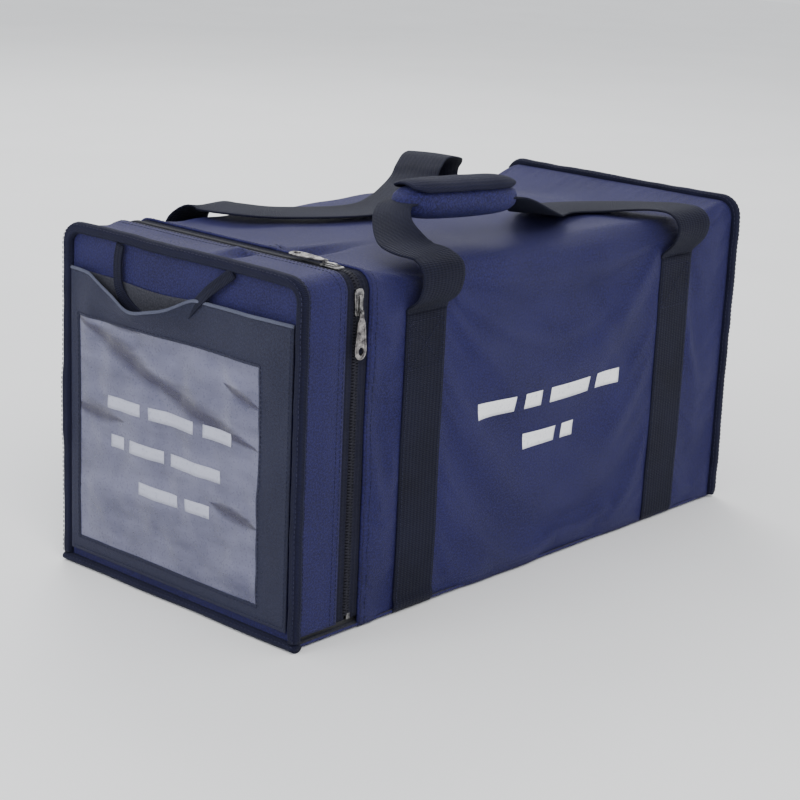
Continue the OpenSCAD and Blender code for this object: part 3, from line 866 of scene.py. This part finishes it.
def carry_strap(name, x, node, seed):
    """Flat webbing sewn up the front, under the base and up the back."""
    high = np.linspace(STRAP_TOP + 1.3, 8, 66)
    r = 6.0
    arc = np.linspace(0, math.pi / 2, 6)
    side_y = FACE_Y + 1.2
    front = [(-side_y, z) for z in high]
    turn = [(-side_y + r - r * math.cos(a), 1.0 + r - r * math.sin(a)) for a in arc]
    under = [(y, 1.0) for y in np.linspace(-side_y + r, side_y - r, 60)[1:-1]]
    line = even(mirrored(front, turn, under), 4.0)
    _, up = outwards(line, np.gradient(line, axis=0))
    path = np.stack([x + 0.5 * noise((*line.T, seed * 70.0), 160, seed), *line.T], 1)
    sides = (np.abs(line[:, 0]) > side_y - 1) & (line[:, 1] > 12)
    hugged = hug(path, up, body_tree, 1.1)
    path[sides, 1] = hugged[sides, 1]
    width = WEB * 0.97
    obj = sweep_object(name, path, ALONG, up, flat_outline(width, 1.9), WEBBING)
    attach(obj, "bag", "webbing", node)
    shown = (line[:, 1] > 3) & (line[:, 1] < STRAP_TOP - 3)
    for side in (-1, 1):
        row = path + ALONG * side * (width / 2 - 3.0) + up * 1.05
        for part in (line[:, 0] < -side_y + 3, line[:, 0] > side_y - 3):
            thread_bag.row(row[part & shown], up[part & shown])
    # A sewn box with a cross, where the strap leaves the cloth
    for face in (-1, 1):
        y = face * (FACE_Y + 2.25)
        z0, z1, w = STRAP_TOP - 46, STRAP_TOP - 6, width / 2 - 5
        corners = [(x - w, z0), (x + w, z0), (x + w, z1), (x - w, z1), (x - w, z0), (x + w, z1)]
        for a, b in list(zip(corners[:-1], corners[1:])) + [(corners[3], corners[1])]:
            ends = np.array([[a[0], y, a[1]], [b[0], y, b[1]]])
            thread_bag.row(ends, (0, face, 0))


carry_strap("left_strap", LEFT_X, "left_carry_strap", 71)
carry_strap("right_strap", RIGHT_X, "right_carry_strap", 72)

# ---- Carry handles ----
# Each row: place along the length, distance out from the face, height above the top, direction of the width in
# plan in degrees, and width of the webbing where it isn't full, all in mm, as part.scad has them, with the lying
# parts let down on the cloth.

STRAP_DROP = TOP_Z - STRAP_TOP
FOOT_UP = 1.5 - STRAP_DROP
GRIP_LENGTH = 112.0
GRIP_WEB = 34.0
HANDLE_THICK, HANDLE_CLEAR = 2.0, 1.35
GRIP_X0 = LEFT_X + 33.5
GRIP_X1 = GRIP_X0 + GRIP_LENGTH + 3


def in_grip(t):
    return [GRIP_X0 + t * (GRIP_X1 - GRIP_X0), -61 + 18 * t, 34 - 3 * t, -98.2, GRIP_WEB]


def past_grip(t):
    return GRIP_X1 + t * (RIGHT_X - GRIP_X1)


def between(t):
    return LEFT_X + t * (RIGHT_X - LEFT_X)


def foot(x, turn):
    return [[x, 1.3, FOOT_UP, turn], [x, 2.5, FOOT_UP + 4, turn]]


FRONT_ROUTE = foot(LEFT_X, 0) + [
    [LEFT_X, 13, -28, 0], [LEFT_X, 18, -15, 0], [LEFT_X, 16, -2, 0], [LEFT_X, 4, 5, 0], [LEFT_X - 4, -11, 8, -9],
    [LEFT_X - 4, -25, 12, -32, WEB * 0.86], [GRIP_X0 - 31, -41, 20, -60, WEB * 0.68],
    [GRIP_X0 - 18, -55, 29, -80, WEB * 0.64], in_grip(0), in_grip(1 / 3), in_grip(2 / 3), in_grip(1),
    [past_grip(0.075), -41.5, 27, -90, WEB * 0.76], [past_grip(0.183), -46.5, 16, -75, WEB * 0.88],
    [past_grip(0.31), -59, 6, -65], [past_grip(0.46), -79, 0, -72], [past_grip(0.63), -91, -2.5, -90],
    [past_grip(0.785), -87, -4, -107], [past_grip(0.91), -67, -3, -139], [past_grip(0.975), -41, 0, -163],
    [RIGHT_X, -13, 3, -174], [RIGHT_X, 8, 2, -180], [RIGHT_X, 18, -8, -180], [RIGHT_X, 15, -23, -180],
    *foot(RIGHT_X, -180)[::-1]]
REAR_ROUTE = foot(LEFT_X, 0) + [
    [LEFT_X, 9, -28, 0], [LEFT_X, 10, -15, 0], [LEFT_X, 3.5, -5, 0], [between(0.021), -8, 1.5, 6],
    [between(0.044), -29, 1.5, 24], [between(0.095), -57, 0.5, 41], [between(0.18), -78, 0, 67],
    [between(0.294), -94, -0.5, 84], [between(0.408), -92, -1, 98], [between(0.522), -74, -1, 110],
    [between(0.62), -54, -0.5, 110], [between(0.70), -36, 0.5, 104], [between(0.75), -26, 5, 100],
    [between(0.79), -19, 13, 97], [between(0.84), -11, 19.5, 96], [between(0.89), -4, 20, 101],
    [between(0.93), 2, 16, 118], [between(0.965), 8, 6, 145], [between(0.985), 12, -8, 170],
    [RIGHT_X, 11.5, -25, 180], *foot(RIGHT_X, 180)[::-1]]


def handle(name, route, side, body_name, node):
    """A loop of webbing along a route, lifted on to the cloth wherever it would sink in."""
    rows = catmull([[x, side * (FACE_Y + out), TOP_Z + up, math.cos(math.radians(a)), math.sin(math.radians(a)), w]
                    for x, out, up, a, w in ([*row, WEB][:5] for row in route)], 14)
    rows = even(rows, 2.6)
    path, wide, width = rows[:, :3], rows[:, 3:5], rows[:, 5]
    way = unit(np.gradient(path, axis=0))
    wide = np.hstack([wide, np.zeros((len(wide), 1))])
    across = unit(wide - (wide * way).sum(1)[:, None] * way)
    up = unit(np.cross(way, across))
    if up[0, 1] * side < 0:
        up = -up
    # Across the webbing in shares of its width, through it in mm
    girth = flat_outline(1.0, 0.04, side=3, wide=13) * [1, HANDLE_THICK / 0.04]
    n, k = len(path), len(girth)
    s = along_length(path)
    cup = 0.9 * np.sin(s / 55.0)[:, None] * (1 - 4 * np.square(girth[None, :, 0]))
    ring = path[:, None] + across[:, None] * (girth[None, :, :1] * width[:, None, None])
    ring = ring + up[:, None] * (girth[None, :, 1] + cup)[..., None]
    for place, height in zip(ring.reshape(-1, 3), np.broadcast_to(girth[None, :, 1], ring.shape[:2]).ravel()):
        if abs(place[1]) < FACE_Y - 4 and place[2] > TOP_Z - 25:
            hit, _, _, _ = body_tree.ray_cast(Vector((place[0] * MM, place[1] * MM, 0.4)), Vector((0, 0, -1)))
            if hit is not None:
                place[2] = max(place[2], hit[2] / MM + HANDLE_CLEAR + height)
    uv = np.stack(np.broadcast_arrays(s[:, None], girth[None, :, 0] * WEB), -1).reshape(-1, 2)
    obj = mesh_object(name, ring.reshape(-1, 3), tube_faces(n, k), WEBBING, uv)
    fix_normals(obj)
    attach(obj, body_name, "webbing", node)


handle("front_webbing", FRONT_ROUTE, -1, "front_handle", "front_handle")
handle("rear_webbing", REAR_ROUTE, 1, "rear_handle", "rear_handle")

# ---- Padded grip ----

GRIP_A = np.array([GRIP_X0, -(FACE_Y - 61), TOP_Z + 34])
GRIP_B = np.array([GRIP_X1, -(FACE_Y - 43), TOP_Z + 31])
GRIP_MID = (GRIP_A + GRIP_B) / 2
GRIP_U = unit(GRIP_B - GRIP_A)
GRIP_V = unit(np.cross([0, 0, 1.0], GRIP_U))
GRIP_W = np.cross(GRIP_U, GRIP_V)


def grip_place(u, v, w):
    return GRIP_MID + np.multiply.outer(u, GRIP_U) + np.multiply.outer(v, GRIP_V) + np.multiply.outer(w, GRIP_W)


def round_box(angle, half_v, half_w, power=2.6):
    c, s = np.cos(angle), np.sin(angle)
    size = (np.abs(c) ** power + np.abs(s) ** power) ** (-1 / power)
    return half_v * c * size, half_w * s * size


def grip_pad():
    """The padded sleeve: a closed form with pinched ends, puffed up by cloth pressure."""
    half = GRIP_LENGTH / 2 + 6
    u = np.linspace(-1, 1, 35)
    shape = np.power(np.clip(1 - np.abs(u) ** 5, 0, 1), 0.5)
    angle = np.linspace(0, ONE_TURN, 41)[:-1]
    points = []
    for t, k in zip(u, shape):
        v, w = round_box(angle, 5 + 15.0 * k, 2.0 + 12.2 * k)
        points.append(grip_place(np.full(len(angle), t * half), v, w))
    faces = tube_faces(len(u), len(angle))
    obj = mesh_object("grip_pad", np.array(points).reshape(-1, 3), faces, PAD_CLOTH)
    fix_normals(obj)
    remesh = obj.modifiers.new("even", "REMESH")
    remesh.mode = "VOXEL"
    remesh.voxel_size = 3.2 * MM
    deps = bpy.context.evaluated_depsgraph_get()
    mesh = bpy.data.meshes.new_from_object(obj.evaluated_get(deps))
    obj.modifiers.clear()
    obj.data = mesh
    drape(obj, np.zeros(len(mesh.vertices)), 14, 3.0, shrink=-0.03, stiff=8, bend=0.4, gravity=0.0, pressure=5.0)
    mesh.polygons.foreach_set("use_smooth", [True] * len(mesh.polygons))
    rounder = obj.modifiers.new("smooth", "SUBSURF")
    rounder.levels = rounder.render_levels = 1
    attach(obj, "front_handle", "nylon", "grip_sleeve", "grip_foam")


def grip_cover():
    """The flap that closes the grip: a strip of binding tape bent over the top of the pad, with hook and loop tapes
    under it.
    """
    half = GRIP_LENGTH / 2 + 1
    for name, body_name, node, slot_name, lift, a0, a1, thick, material, u_half in (
            ("grip_cover", "grip_flap", "grip_flap", "binding", 2.4, 28, 148, 1.8, BINDING, half),
            ("grip_hooks", "grip_flap", "grip_hook_tape", "hook_loop", 0.9, 50, 138, 0.8, HOOK, half - 5),
            ("grip_loops", "front_handle", "grip_loop_tape", "hook_loop", 0.1, 50, 138, 0.8, HOOK, half - 5)):
        angle = np.radians(np.linspace(a0, a1, 26))
        u = np.linspace(-u_half, u_half, 50)
        taper = np.clip(1 - np.abs(u / (half + 7)) ** 7, 0, 1) ** 0.5
        grid = []
        middle = np.radians((a0 + a1) / 2)
        for t, k in zip(u, taper):
            ends = 1 - 0.38 * abs(t / u_half) ** 9
            v, w = round_box(middle + (angle - middle) * ends, (6 + 15.6 * k) + lift, (2.5 + 14.2 * k) + lift)
            grid.append(grip_place(np.full(len(angle), t), v, w))
        grid = np.array(grid)
        grid = grid + 0.35 * noise((grid[..., 0], grid[..., 1]), 45, 81)[..., None] * GRIP_W
        obj = sheet_object(name, grid, material, thick)
        attach(obj, body_name, slot_name, node)


grip_pad()
grip_cover()

# ---- Window pocket ----

LAP = 5.0
TUCK = 4.5
LIP_DROP = 4.0
POCKET_MOVE = np.array([[0, -TUCK, 0], [0, 0, -LIP_DROP]])
(_, POCKET_Y0, POCKET_Z0), (_, POCKET_Y1, POCKET_Z1) = box_mm("pocket_frame") + POCKET_MOVE
(_, WINDOW_Y0, WINDOW_Z0), (_, WINDOW_Y1, WINDOW_Z1) = box_mm("pocket_window") + LAP * np.array([[1], [-1]])
MOUTH_Y = 42.0


def mouth_sag(y):
    """How far the front lip of the pocket hangs below its line, where the end handle holds it open."""
    return 21.0 * np.clip(1 - np.square((y - MOUTH_Y) / 64), 0, 1) ** 1.3 * (0.96 + 0.04 * np.cos(y / 7))


def pocket_out(y, z):
    """How far the pocket cloth stands out from the end panel."""
    t = np.clip((z - POCKET_Z0) / (POCKET_Z1 - POCKET_Z0), 0, 1)
    rim = smooth((y - POCKET_Y0) / 30) * smooth((POCKET_Y1 - y) / 30) * smooth((z - POCKET_Z0) / 30)
    swell = 2.6 + (2.0 * t + 1.3 * noise((y, z), 120, 91) + 0.5 * noise((y, z), 45, 92)) * rim
    gape = 9.0 * bell((y - MOUTH_Y + 6) / 42) * smooth((t - 0.80) / 0.20)
    return swell + gape


def pocket_lines(a, b, cuts, spacing):
    marks = sorted([a, *cuts, b])
    parts = [np.linspace(p, q, max(int(round((q - p) / spacing)), 1) + 1)[:-1] for p, q in zip(marks, marks[1:])]
    return np.concatenate(parts + [[b]])


def pocket():
    ys = pocket_lines(POCKET_Y0, POCKET_Y1, (WINDOW_Y0, WINDOW_Y1), 3.2)
    zs = pocket_lines(POCKET_Z0, POCKET_Z1, (WINDOW_Z0, WINDOW_Z1), 3.2)
    yy, zz = cross_grid(ys, zs)
    t = smooth((zz - WINDOW_Z1) / (POCKET_Z1 - WINDOW_Z1))
    low = zz - mouth_sag(yy) * t
    grid = np.stack([-PANEL_X - 1.2 - pocket_out(yy, zz), yy, low], -1)
    mid_y, mid_z = (ys[:-1] + ys[1:]) / 2, (zs[:-1] + zs[1:]) / 2
    hole = ((mid_y > WINDOW_Y0) & (mid_y < WINDOW_Y1))[:, None] & ((mid_z > WINDOW_Z0) & (mid_z < WINDOW_Z1))[None]
    obj = sheet_object("pocket_cloth", grid, POCKET_CLOTH, 1.0, keep=~hole)
    attach(obj, "end_flap", "pocket_cloth", "pocket_frame")
    # The back of the pocket is a second sheet with a straight top edge, in the lining colour darkened as painted shade
    # behind the sagging lip
    y, z = cross_grid(np.linspace(POCKET_Y0 + 1, POCKET_Y1 - 1, 60), np.linspace(POCKET_Z1 - 70, POCKET_Z1 - 1, 30))
    back = sheet_object("pocket_back", np.stack([-PANEL_X - 1.9 + 0 * y, y, z - 3 * bell((y - 25) / 40)], -1),
                        LINING_PAINTED_SHADE, 0.6)
    attach(back, "end_flap", "pocket_cloth")
    # Edge tape along the lip of the mouth, coloured pale as a painted highlight
    path = grid[:, -1] + [0.2, 0, -0.4]
    outline = np.array(circle(0, 0, 1.1, 10, 1.5 / 1.1))
    lip = sweep_object("pocket_lip", path, ALONG, UPWARDS, outline, PAINTED_HIGHLIGHT_TAPE)
    attach(lip, "end_flap", "pocket_trim", "pocket_trim")
    # Seams round the window and down the sides
    lap = 2.2
    y0, y1, z0, z1 = WINDOW_Y0 - lap, WINDOW_Y1 + lap, WINDOW_Z0 - lap, WINDOW_Z1 + lap
    corner = (POCKET_Y0 + 3, POCKET_Z0 + 3)
    for a, b in (((y0, z0), (y1, z0)), ((y1, z0), (y1, z1)), ((y1, z1), (y0, z1)), ((y0, z1), (y0, z0)),
                 (corner, (POCKET_Y0 + 3, POCKET_Z1 - 3)), (corner, (POCKET_Y1 - 3, POCKET_Z0 + 3))):
        y, z = even(np.array([a, b]), 6.0).T
        line = np.stack([-PANEL_X - 1.5 - pocket_out(y, z), y, z], 1)
        thread_flap.row(line, (-1, 0, 0), 4.0, 2.9, 0.3)


def film_crease(y, z):
    """Long slanting folds in the window film, in mm outwards."""
    total = 0.7 * noise((y, z), 60, 95) + 0.25 * noise((y, z), 22, 96)
    for (y0, z0), (y1, z1), half in FILM_FOLDS:
        run = np.clip((y - y0) / (y1 - y0), 0, 1)
        line = z0 + run * (z1 - z0)
        total = total + np.sin(run * math.pi) * (1.6 * bell((z - line - half) / half) - 1.8 * bell((z - line) / half))
    return total


def window():
    ys = np.linspace(WINDOW_Y0 - LAP, WINDOW_Y1 + LAP, 92)
    zs = np.linspace(WINDOW_Z0 - LAP, WINDOW_Z1 + LAP, 86)
    yy, zz = cross_grid(ys, zs)
    rim = np.prod([smooth(room / 14) for room in (yy - WINDOW_Y0, WINDOW_Y1 - yy, zz - WINDOW_Z0, WINDOW_Z1 - zz)], 0)
    off = pocket_out(yy, zz) - 0.6 + film_crease(yy, zz) * rim
    grid = np.stack([-PANEL_X - 1.2 - np.maximum(off, 0.9), yy, zz], -1)
    obj = sheet_object("window_vinyl", grid, FILM_PAINTED_REFLECTION, 0.4)
    return attach(obj, "end_flap", "window_film", "pocket_window")


pocket()
film_tree = tree_of(window())


BAR_CELL = 2.5
INK_LIFT, INK_THICK = 0.18, 0.15


def printed(name, bars, place, normal, tree, body_name, node, material):
    """Plain printed bars that lie on the cloth or film under them."""
    points, faces = [], []
    for x0, x1, z0, z1 in bars:
        a = np.linspace(x0, x1, max(int((x1 - x0) / BAR_CELL), 2))
        grid = place(*cross_grid(a, np.linspace(z0, z1, max(int((z1 - z0) / BAR_CELL), 3))))
        grid = hug(grid, np.broadcast_to(normal, grid.shape), tree, INK_LIFT)
        faces += [tuple(len(points) + i for i in f) for f in grid_faces(*grid.shape[:2])]
        points += list(grid.reshape(-1, 3))
    obj = mesh_object(name, points, faces, material)
    fix_normals(obj)
    thicken(obj, INK_THICK)
    attach(obj, body_name, "print", node)


def bars_in_row(start, widths, gap, z0, z1):
    out = []
    for w in widths:
        out.append((start, start + w, z0, z1))
        start += w + gap
    return out


front_bars = bars_in_row(-78, (46, 22, 58, 34), 12.5, 150, 164) + bars_in_row(-13, (44, 17), 10, 111, 125)
printed("front_print", front_bars, lambda a, z: np.stack([a, np.full_like(a, -FACE_Y), z], -1),
        np.array([0, -1.0, 0]), body_tree, "bag", "front_mark", INK)
mid_y, mid_z = (WINDOW_Y0 + WINDOW_Y1) / 2, (WINDOW_Z0 + WINDOW_Z1) / 2
window_bars = (bars_in_row(mid_y - 78, (34, 54, 40), 10, mid_z + 26, mid_z + 37)
               + bars_in_row(mid_y - 66, (60, 42, 16), 8, mid_z - 8, mid_z + 3)
               + bars_in_row(mid_y - 52, (28, 48), 9, mid_z - 42, mid_z - 31))
printed("window_print", window_bars, lambda a, z: np.stack([np.full_like(a, -PANEL_X - 4), a, z], -1),
        np.array([-1.0, 0, 0]), film_tree, "end_flap", "window_mark", INK_DULL)

# ---- End handle ----


def end_handle():
    """Narrow webbing from the top seam, tucked into the pocket mouth and out again."""
    rows = [(-3.2, 70, 294), (-3.8, 72, 284), (-4.4, 72, 272), (-4.2, 70, 258), (-3.4, 60, 246), (-3.0, 40, 237),
            (-2.8, 16, 236), (-2.8, -3, 241), (-3.2, -13, 251), (-5.0, -25, 263), (-5.6, -40, 276),
            (-4.2, -56, 288), (-3.2, -64, 294)]
    rows = even(catmull(rows, 10), 2.4) - [PANEL_X, 0, 0]
    way = unit(np.gradient(rows, axis=0))
    out = -ALONG
    lean = 0.55 * np.sin(smooth(np.linspace(0, 1, len(rows))) * math.pi)
    side = unit(np.cross(out, way))
    up = unit(out * np.cos(lean)[:, None] + side * np.sin(lean)[:, None])
    across = unit(np.cross(way, up))
    obj = sweep_object("end_loop", rows, across, up, flat_outline(9.5, 1.7, wide=6), WEBBING)
    attach(obj, "end_handle", "webbing", "end_handle")


end_handle()

# ---- Sliders and pulls ----


def plate(outline, thick, material, bevel, at, holes=()):
    """A flat plate from an outline, lying in X and Y with its thickness along Z, and the place that it goes to."""
    work = bmesh.new()
    edges = []
    for ring in [outline, *holes]:
        verts = [work.verts.new((x * MM, y * MM, 0)) for x, y in ring]
        edges += [work.edges.new((verts[i], verts[(i + 1) % len(verts)])) for i in range(len(verts))]
    bmesh.ops.triangle_fill(work, use_beauty=True, use_dissolve=False, edges=edges)
    mesh = bpy.data.meshes.new("plate")
    work.to_mesh(mesh)
    work.free()
    obj = linked("plate", mesh, material)
    thicken(obj, thick)
    soften(obj, bevel, 2)
    return obj, at


def joined(name, parts, place, material):
    """The evaluated meshes of parts, each put in its own place and then in the place of the whole, as one object."""
    deps = bpy.context.evaluated_depsgraph_get()
    work = bmesh.new()
    for part, at in parts:
        mesh = bpy.data.meshes.new_from_object(part.evaluated_get(deps))
        mesh.transform(place @ at)
        work.from_mesh(mesh)
        bpy.data.objects.remove(part)
    bmesh.ops.recalc_face_normals(work, faces=work.faces)
    mesh = bpy.data.meshes.new(name)
    work.to_mesh(mesh)
    work.free()
    for poly in mesh.polygons:
        poly.use_smooth = False
    return linked(name, mesh, material)


def shift(x=0, y=0, z=0, turn=0, axis="X"):
    return Matrix.Translation((x * MM, y * MM, z * MM)) @ Matrix.Rotation(math.radians(turn), 4, axis)


SLIDER_LENGTH, SLIDER_WIDTH, PIN_FROM_TAIL = 22.0, 10.0, 3.0
PLATE_TOP = 0.7
PIN_HEIGHT = 3.4
PULL_LENGTH, PULL_WIDTH = 38.0, 13.0


def both_sides(right):
    return right + [(-x, y) for x, y in reversed(right)]


def shield(width):
    """Outline of a slider's plate: broad shoulders at the head, narrow tail."""
    half, w = SLIDER_LENGTH / 2, width / 2
    return both_sides([(w * 0.62, -half), (w * 0.8, -half + 2), (w * 0.86, -1), (w, 3), (w, half - 4),
                       (w * 0.7, half - 0.8), (w * 0.25, half - 0.2)])


def slider(name, at, body_name, node):
    """Two shield plates, a post, two rails and a raised crown: local +Z outwards, +Y towards the head."""
    parts = [plate(shield(SLIDER_WIDTH), 1.5, METAL_DARK, 0.5, shift(z=PLATE_TOP - 0.75)),
             plate(shield(SLIDER_WIDTH - 1), 1.2, METAL_DARK, 0.3, shift(z=-6.1)),
             plate(circle(0, 0, 0.6, 10, 6), 5.0, METAL_DARK, 0.1, shift(z=-2.9))]
    rail = [(-0.5, -7), (0.5, -7), (0.5, 6), (-0.5, 6)]
    for side in (-1, 1):
        parts.append(plate(rail, 1.0, METAL_DARK, 0.3, shift(x=side * 2.9, z=PLATE_TOP + 0.5)))
    # Crown: an arched bridge over the pin, seen from the side
    arch = [(-9.8, 0), (-9.8, 3.0), (-9.0, 4.0), (-8.0, 4.3), (-7.0, 3.9), (-5.8, 2.5), (-4.0, 2.3), (1.5, 2.6),
            (4.4, 2.3), (6.0, 1.4), (6.4, 0), (4.6, 0), (4.2, 0.8), (2.6, 1.3), (-5.0, 1.2), (-6.2, 0)]
    on_edge = Matrix(((0, 0, 1, 0), (1, 0, 0, 0), (0, 1, 0, PLATE_TOP * MM - 0.0003), (0, 0, 0, 1)))
    parts.append(plate(arch, 3.0, METAL_DARK, 0.5, on_edge))
    attach(joined(name, parts, at, METAL_DARK), body_name, "zip_metal", node)


def pull(name, at, body_name, node):
    """A cast tab: an eye round the pin, a neck, a rimmed body with raised studs and a hole near the tip."""
    w, tip, here = PULL_WIDTH / 2, -PULL_LENGTH, shift()
    outline = both_sides([(1.9, 1.8), (2.1, -2), (2.6, -5), (w * 0.62, -8), (w * 0.72, -13), (w * 0.84, -20),
                          (w, -27), (w, tip + 7), (w * 0.86, tip + 3.4), (w * 0.5, tip + 0.8), (0.9, tip)])
    hole = circle(0, tip + 7.2, 2.9, 18, 1.15)
    eye = circle(0, -0.1, 1.05, 10, 1.4)
    rim = [(x * 0.80, y * 0.97 - 0.6) for x, y in outline]
    inner = [(x * 0.62, y * 0.93 - 1.4) for x, y in outline]
    parts = [plate(outline, 1.5, METAL, 0.45, here, (hole, eye)),
             plate(rim[2:-2], 2.1, METAL, 0.2, here, (inner[3:-3],))]
    rng = np.random.RandomState(5)
    for y in np.arange(-9.0, tip + 12.0, -2.1):
        for x in (-1.7, 0, 1.7):
            r = 0.62 + 0.12 * rng.rand()
            parts.append(plate(circle(x, y + rng.uniform(-0.3, 0.3), r, 7), 2.2, METAL, 0.2, here))
    parts.append(plate(circle(0, tip + 7.2, 4.2, 20, 1.05), 2.2, METAL, 0.3, here,
                       (circle(0, tip + 7.2, 3.0, 18, 1.12),)))
    attach(joined(name, parts, at, METAL), body_name, "zip_metal", node)


front_z = middle_mm("front_slider")[2]
top_y = middle_mm("top_slider")[1]
on_front = Matrix.Translation((ZIP_X * MM, -FACE_Y * MM, front_z * MM)) @ Matrix.Rotation(math.radians(90), 4, "X")
on_top = Matrix.Translation((ZIP_X * MM, top_y * MM, TOP_Z * MM)) @ Matrix.Rotation(math.radians(180), 4, "Z")
pin = shift(y=-SLIDER_LENGTH / 2 + PIN_FROM_TAIL, z=PIN_HEIGHT)
slider("front_zip_slider", on_front, "front_slider", "front_slider")
slider("top_zip_slider", on_top, "top_slider", "top_slider")
pull("front_zip_pull", on_front @ pin, "front_pull", "front_pull")
pull("top_zip_pull", on_top @ pin, "top_pull", "top_pull")

# ---- Threads and the CAD nodes that stay ----

thread_bag.build("thread_body", THREAD, "bag")
thread_flap.build("thread_cap", THREAD, "end_flap")


for kept, finish in (("base_board", BOARD), ("fixed_end_board", BOARD), ("flap_board", BOARD),
                     ("zip_stops", METAL_DARK)):
    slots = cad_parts[kept].data.materials
    slots.clear()
    slots.append(finish)

# ---- Floor, light and camera ----


def stage():
    n = Nodes("pale_floor")
    n.finish(Base_Color=n.ramp(n.noise(n.place("object"), 3, 2.0), 0.3, 0.7, (0.91, 0.91, 0.91), (0.94, 0.94, 0.94)),
             Roughness=0.7)
    reach = 6000
    floor = mesh_object("floor", [(-reach, -reach, 0), (reach, -reach, 0), (reach, reach, 0), (-reach, reach, 0)],
                        [(0, 1, 2, 3)], n.material, soft=False)
    world = bpy.data.worlds.new("studio")
    bpy.context.scene.world = world
    world.use_nodes = True
    sky = world.node_tree.nodes["Background"].inputs
    sky[0].default_value, sky[1].default_value = (0.95, 0.97, 1.0, 1), 1.05
    for name, place, size, power, tint in (
            ("key", (-1.6, -2.2, 2.6), 1.8, 62, (1, 0.98, 0.95)),
            ("fill", (-3.0, 0.6, 1.6), 2.2, 38, (0.93, 0.96, 1)),
            ("rim", (1.6, 2.2, 2.4), 1.8, 45, (1, 1, 1))):
        light = bpy.data.lights.new(name, "AREA")
        light.shape, light.size, light.energy, light.color = "DISK", size, power, tint
        lamp = linked(name, light)
        lamp.location = place
        lamp.rotation_euler = (Vector((0, 0, 0.15)) - Vector(place)).to_track_quat("-Z", "Y").to_euler()


def camera():
    at = Vector((-1.3445, -1.1700, 0.6312))
    target = Vector((-0.0101, 0.0114, 0.1224))
    roll = math.radians(2.542)
    cam = bpy.data.cameras.new("camera")
    cam.lens, cam.sensor_width = 90.18, 36
    obj = linked("camera", cam)
    aim = (target - at).to_track_quat("-Z", "Y").to_matrix().to_4x4()
    obj.matrix_world = Matrix.Translation(at) @ aim @ Matrix.Rotation(roll, 4, "Z")
    bpy.context.scene.camera = obj


stage()
camera()
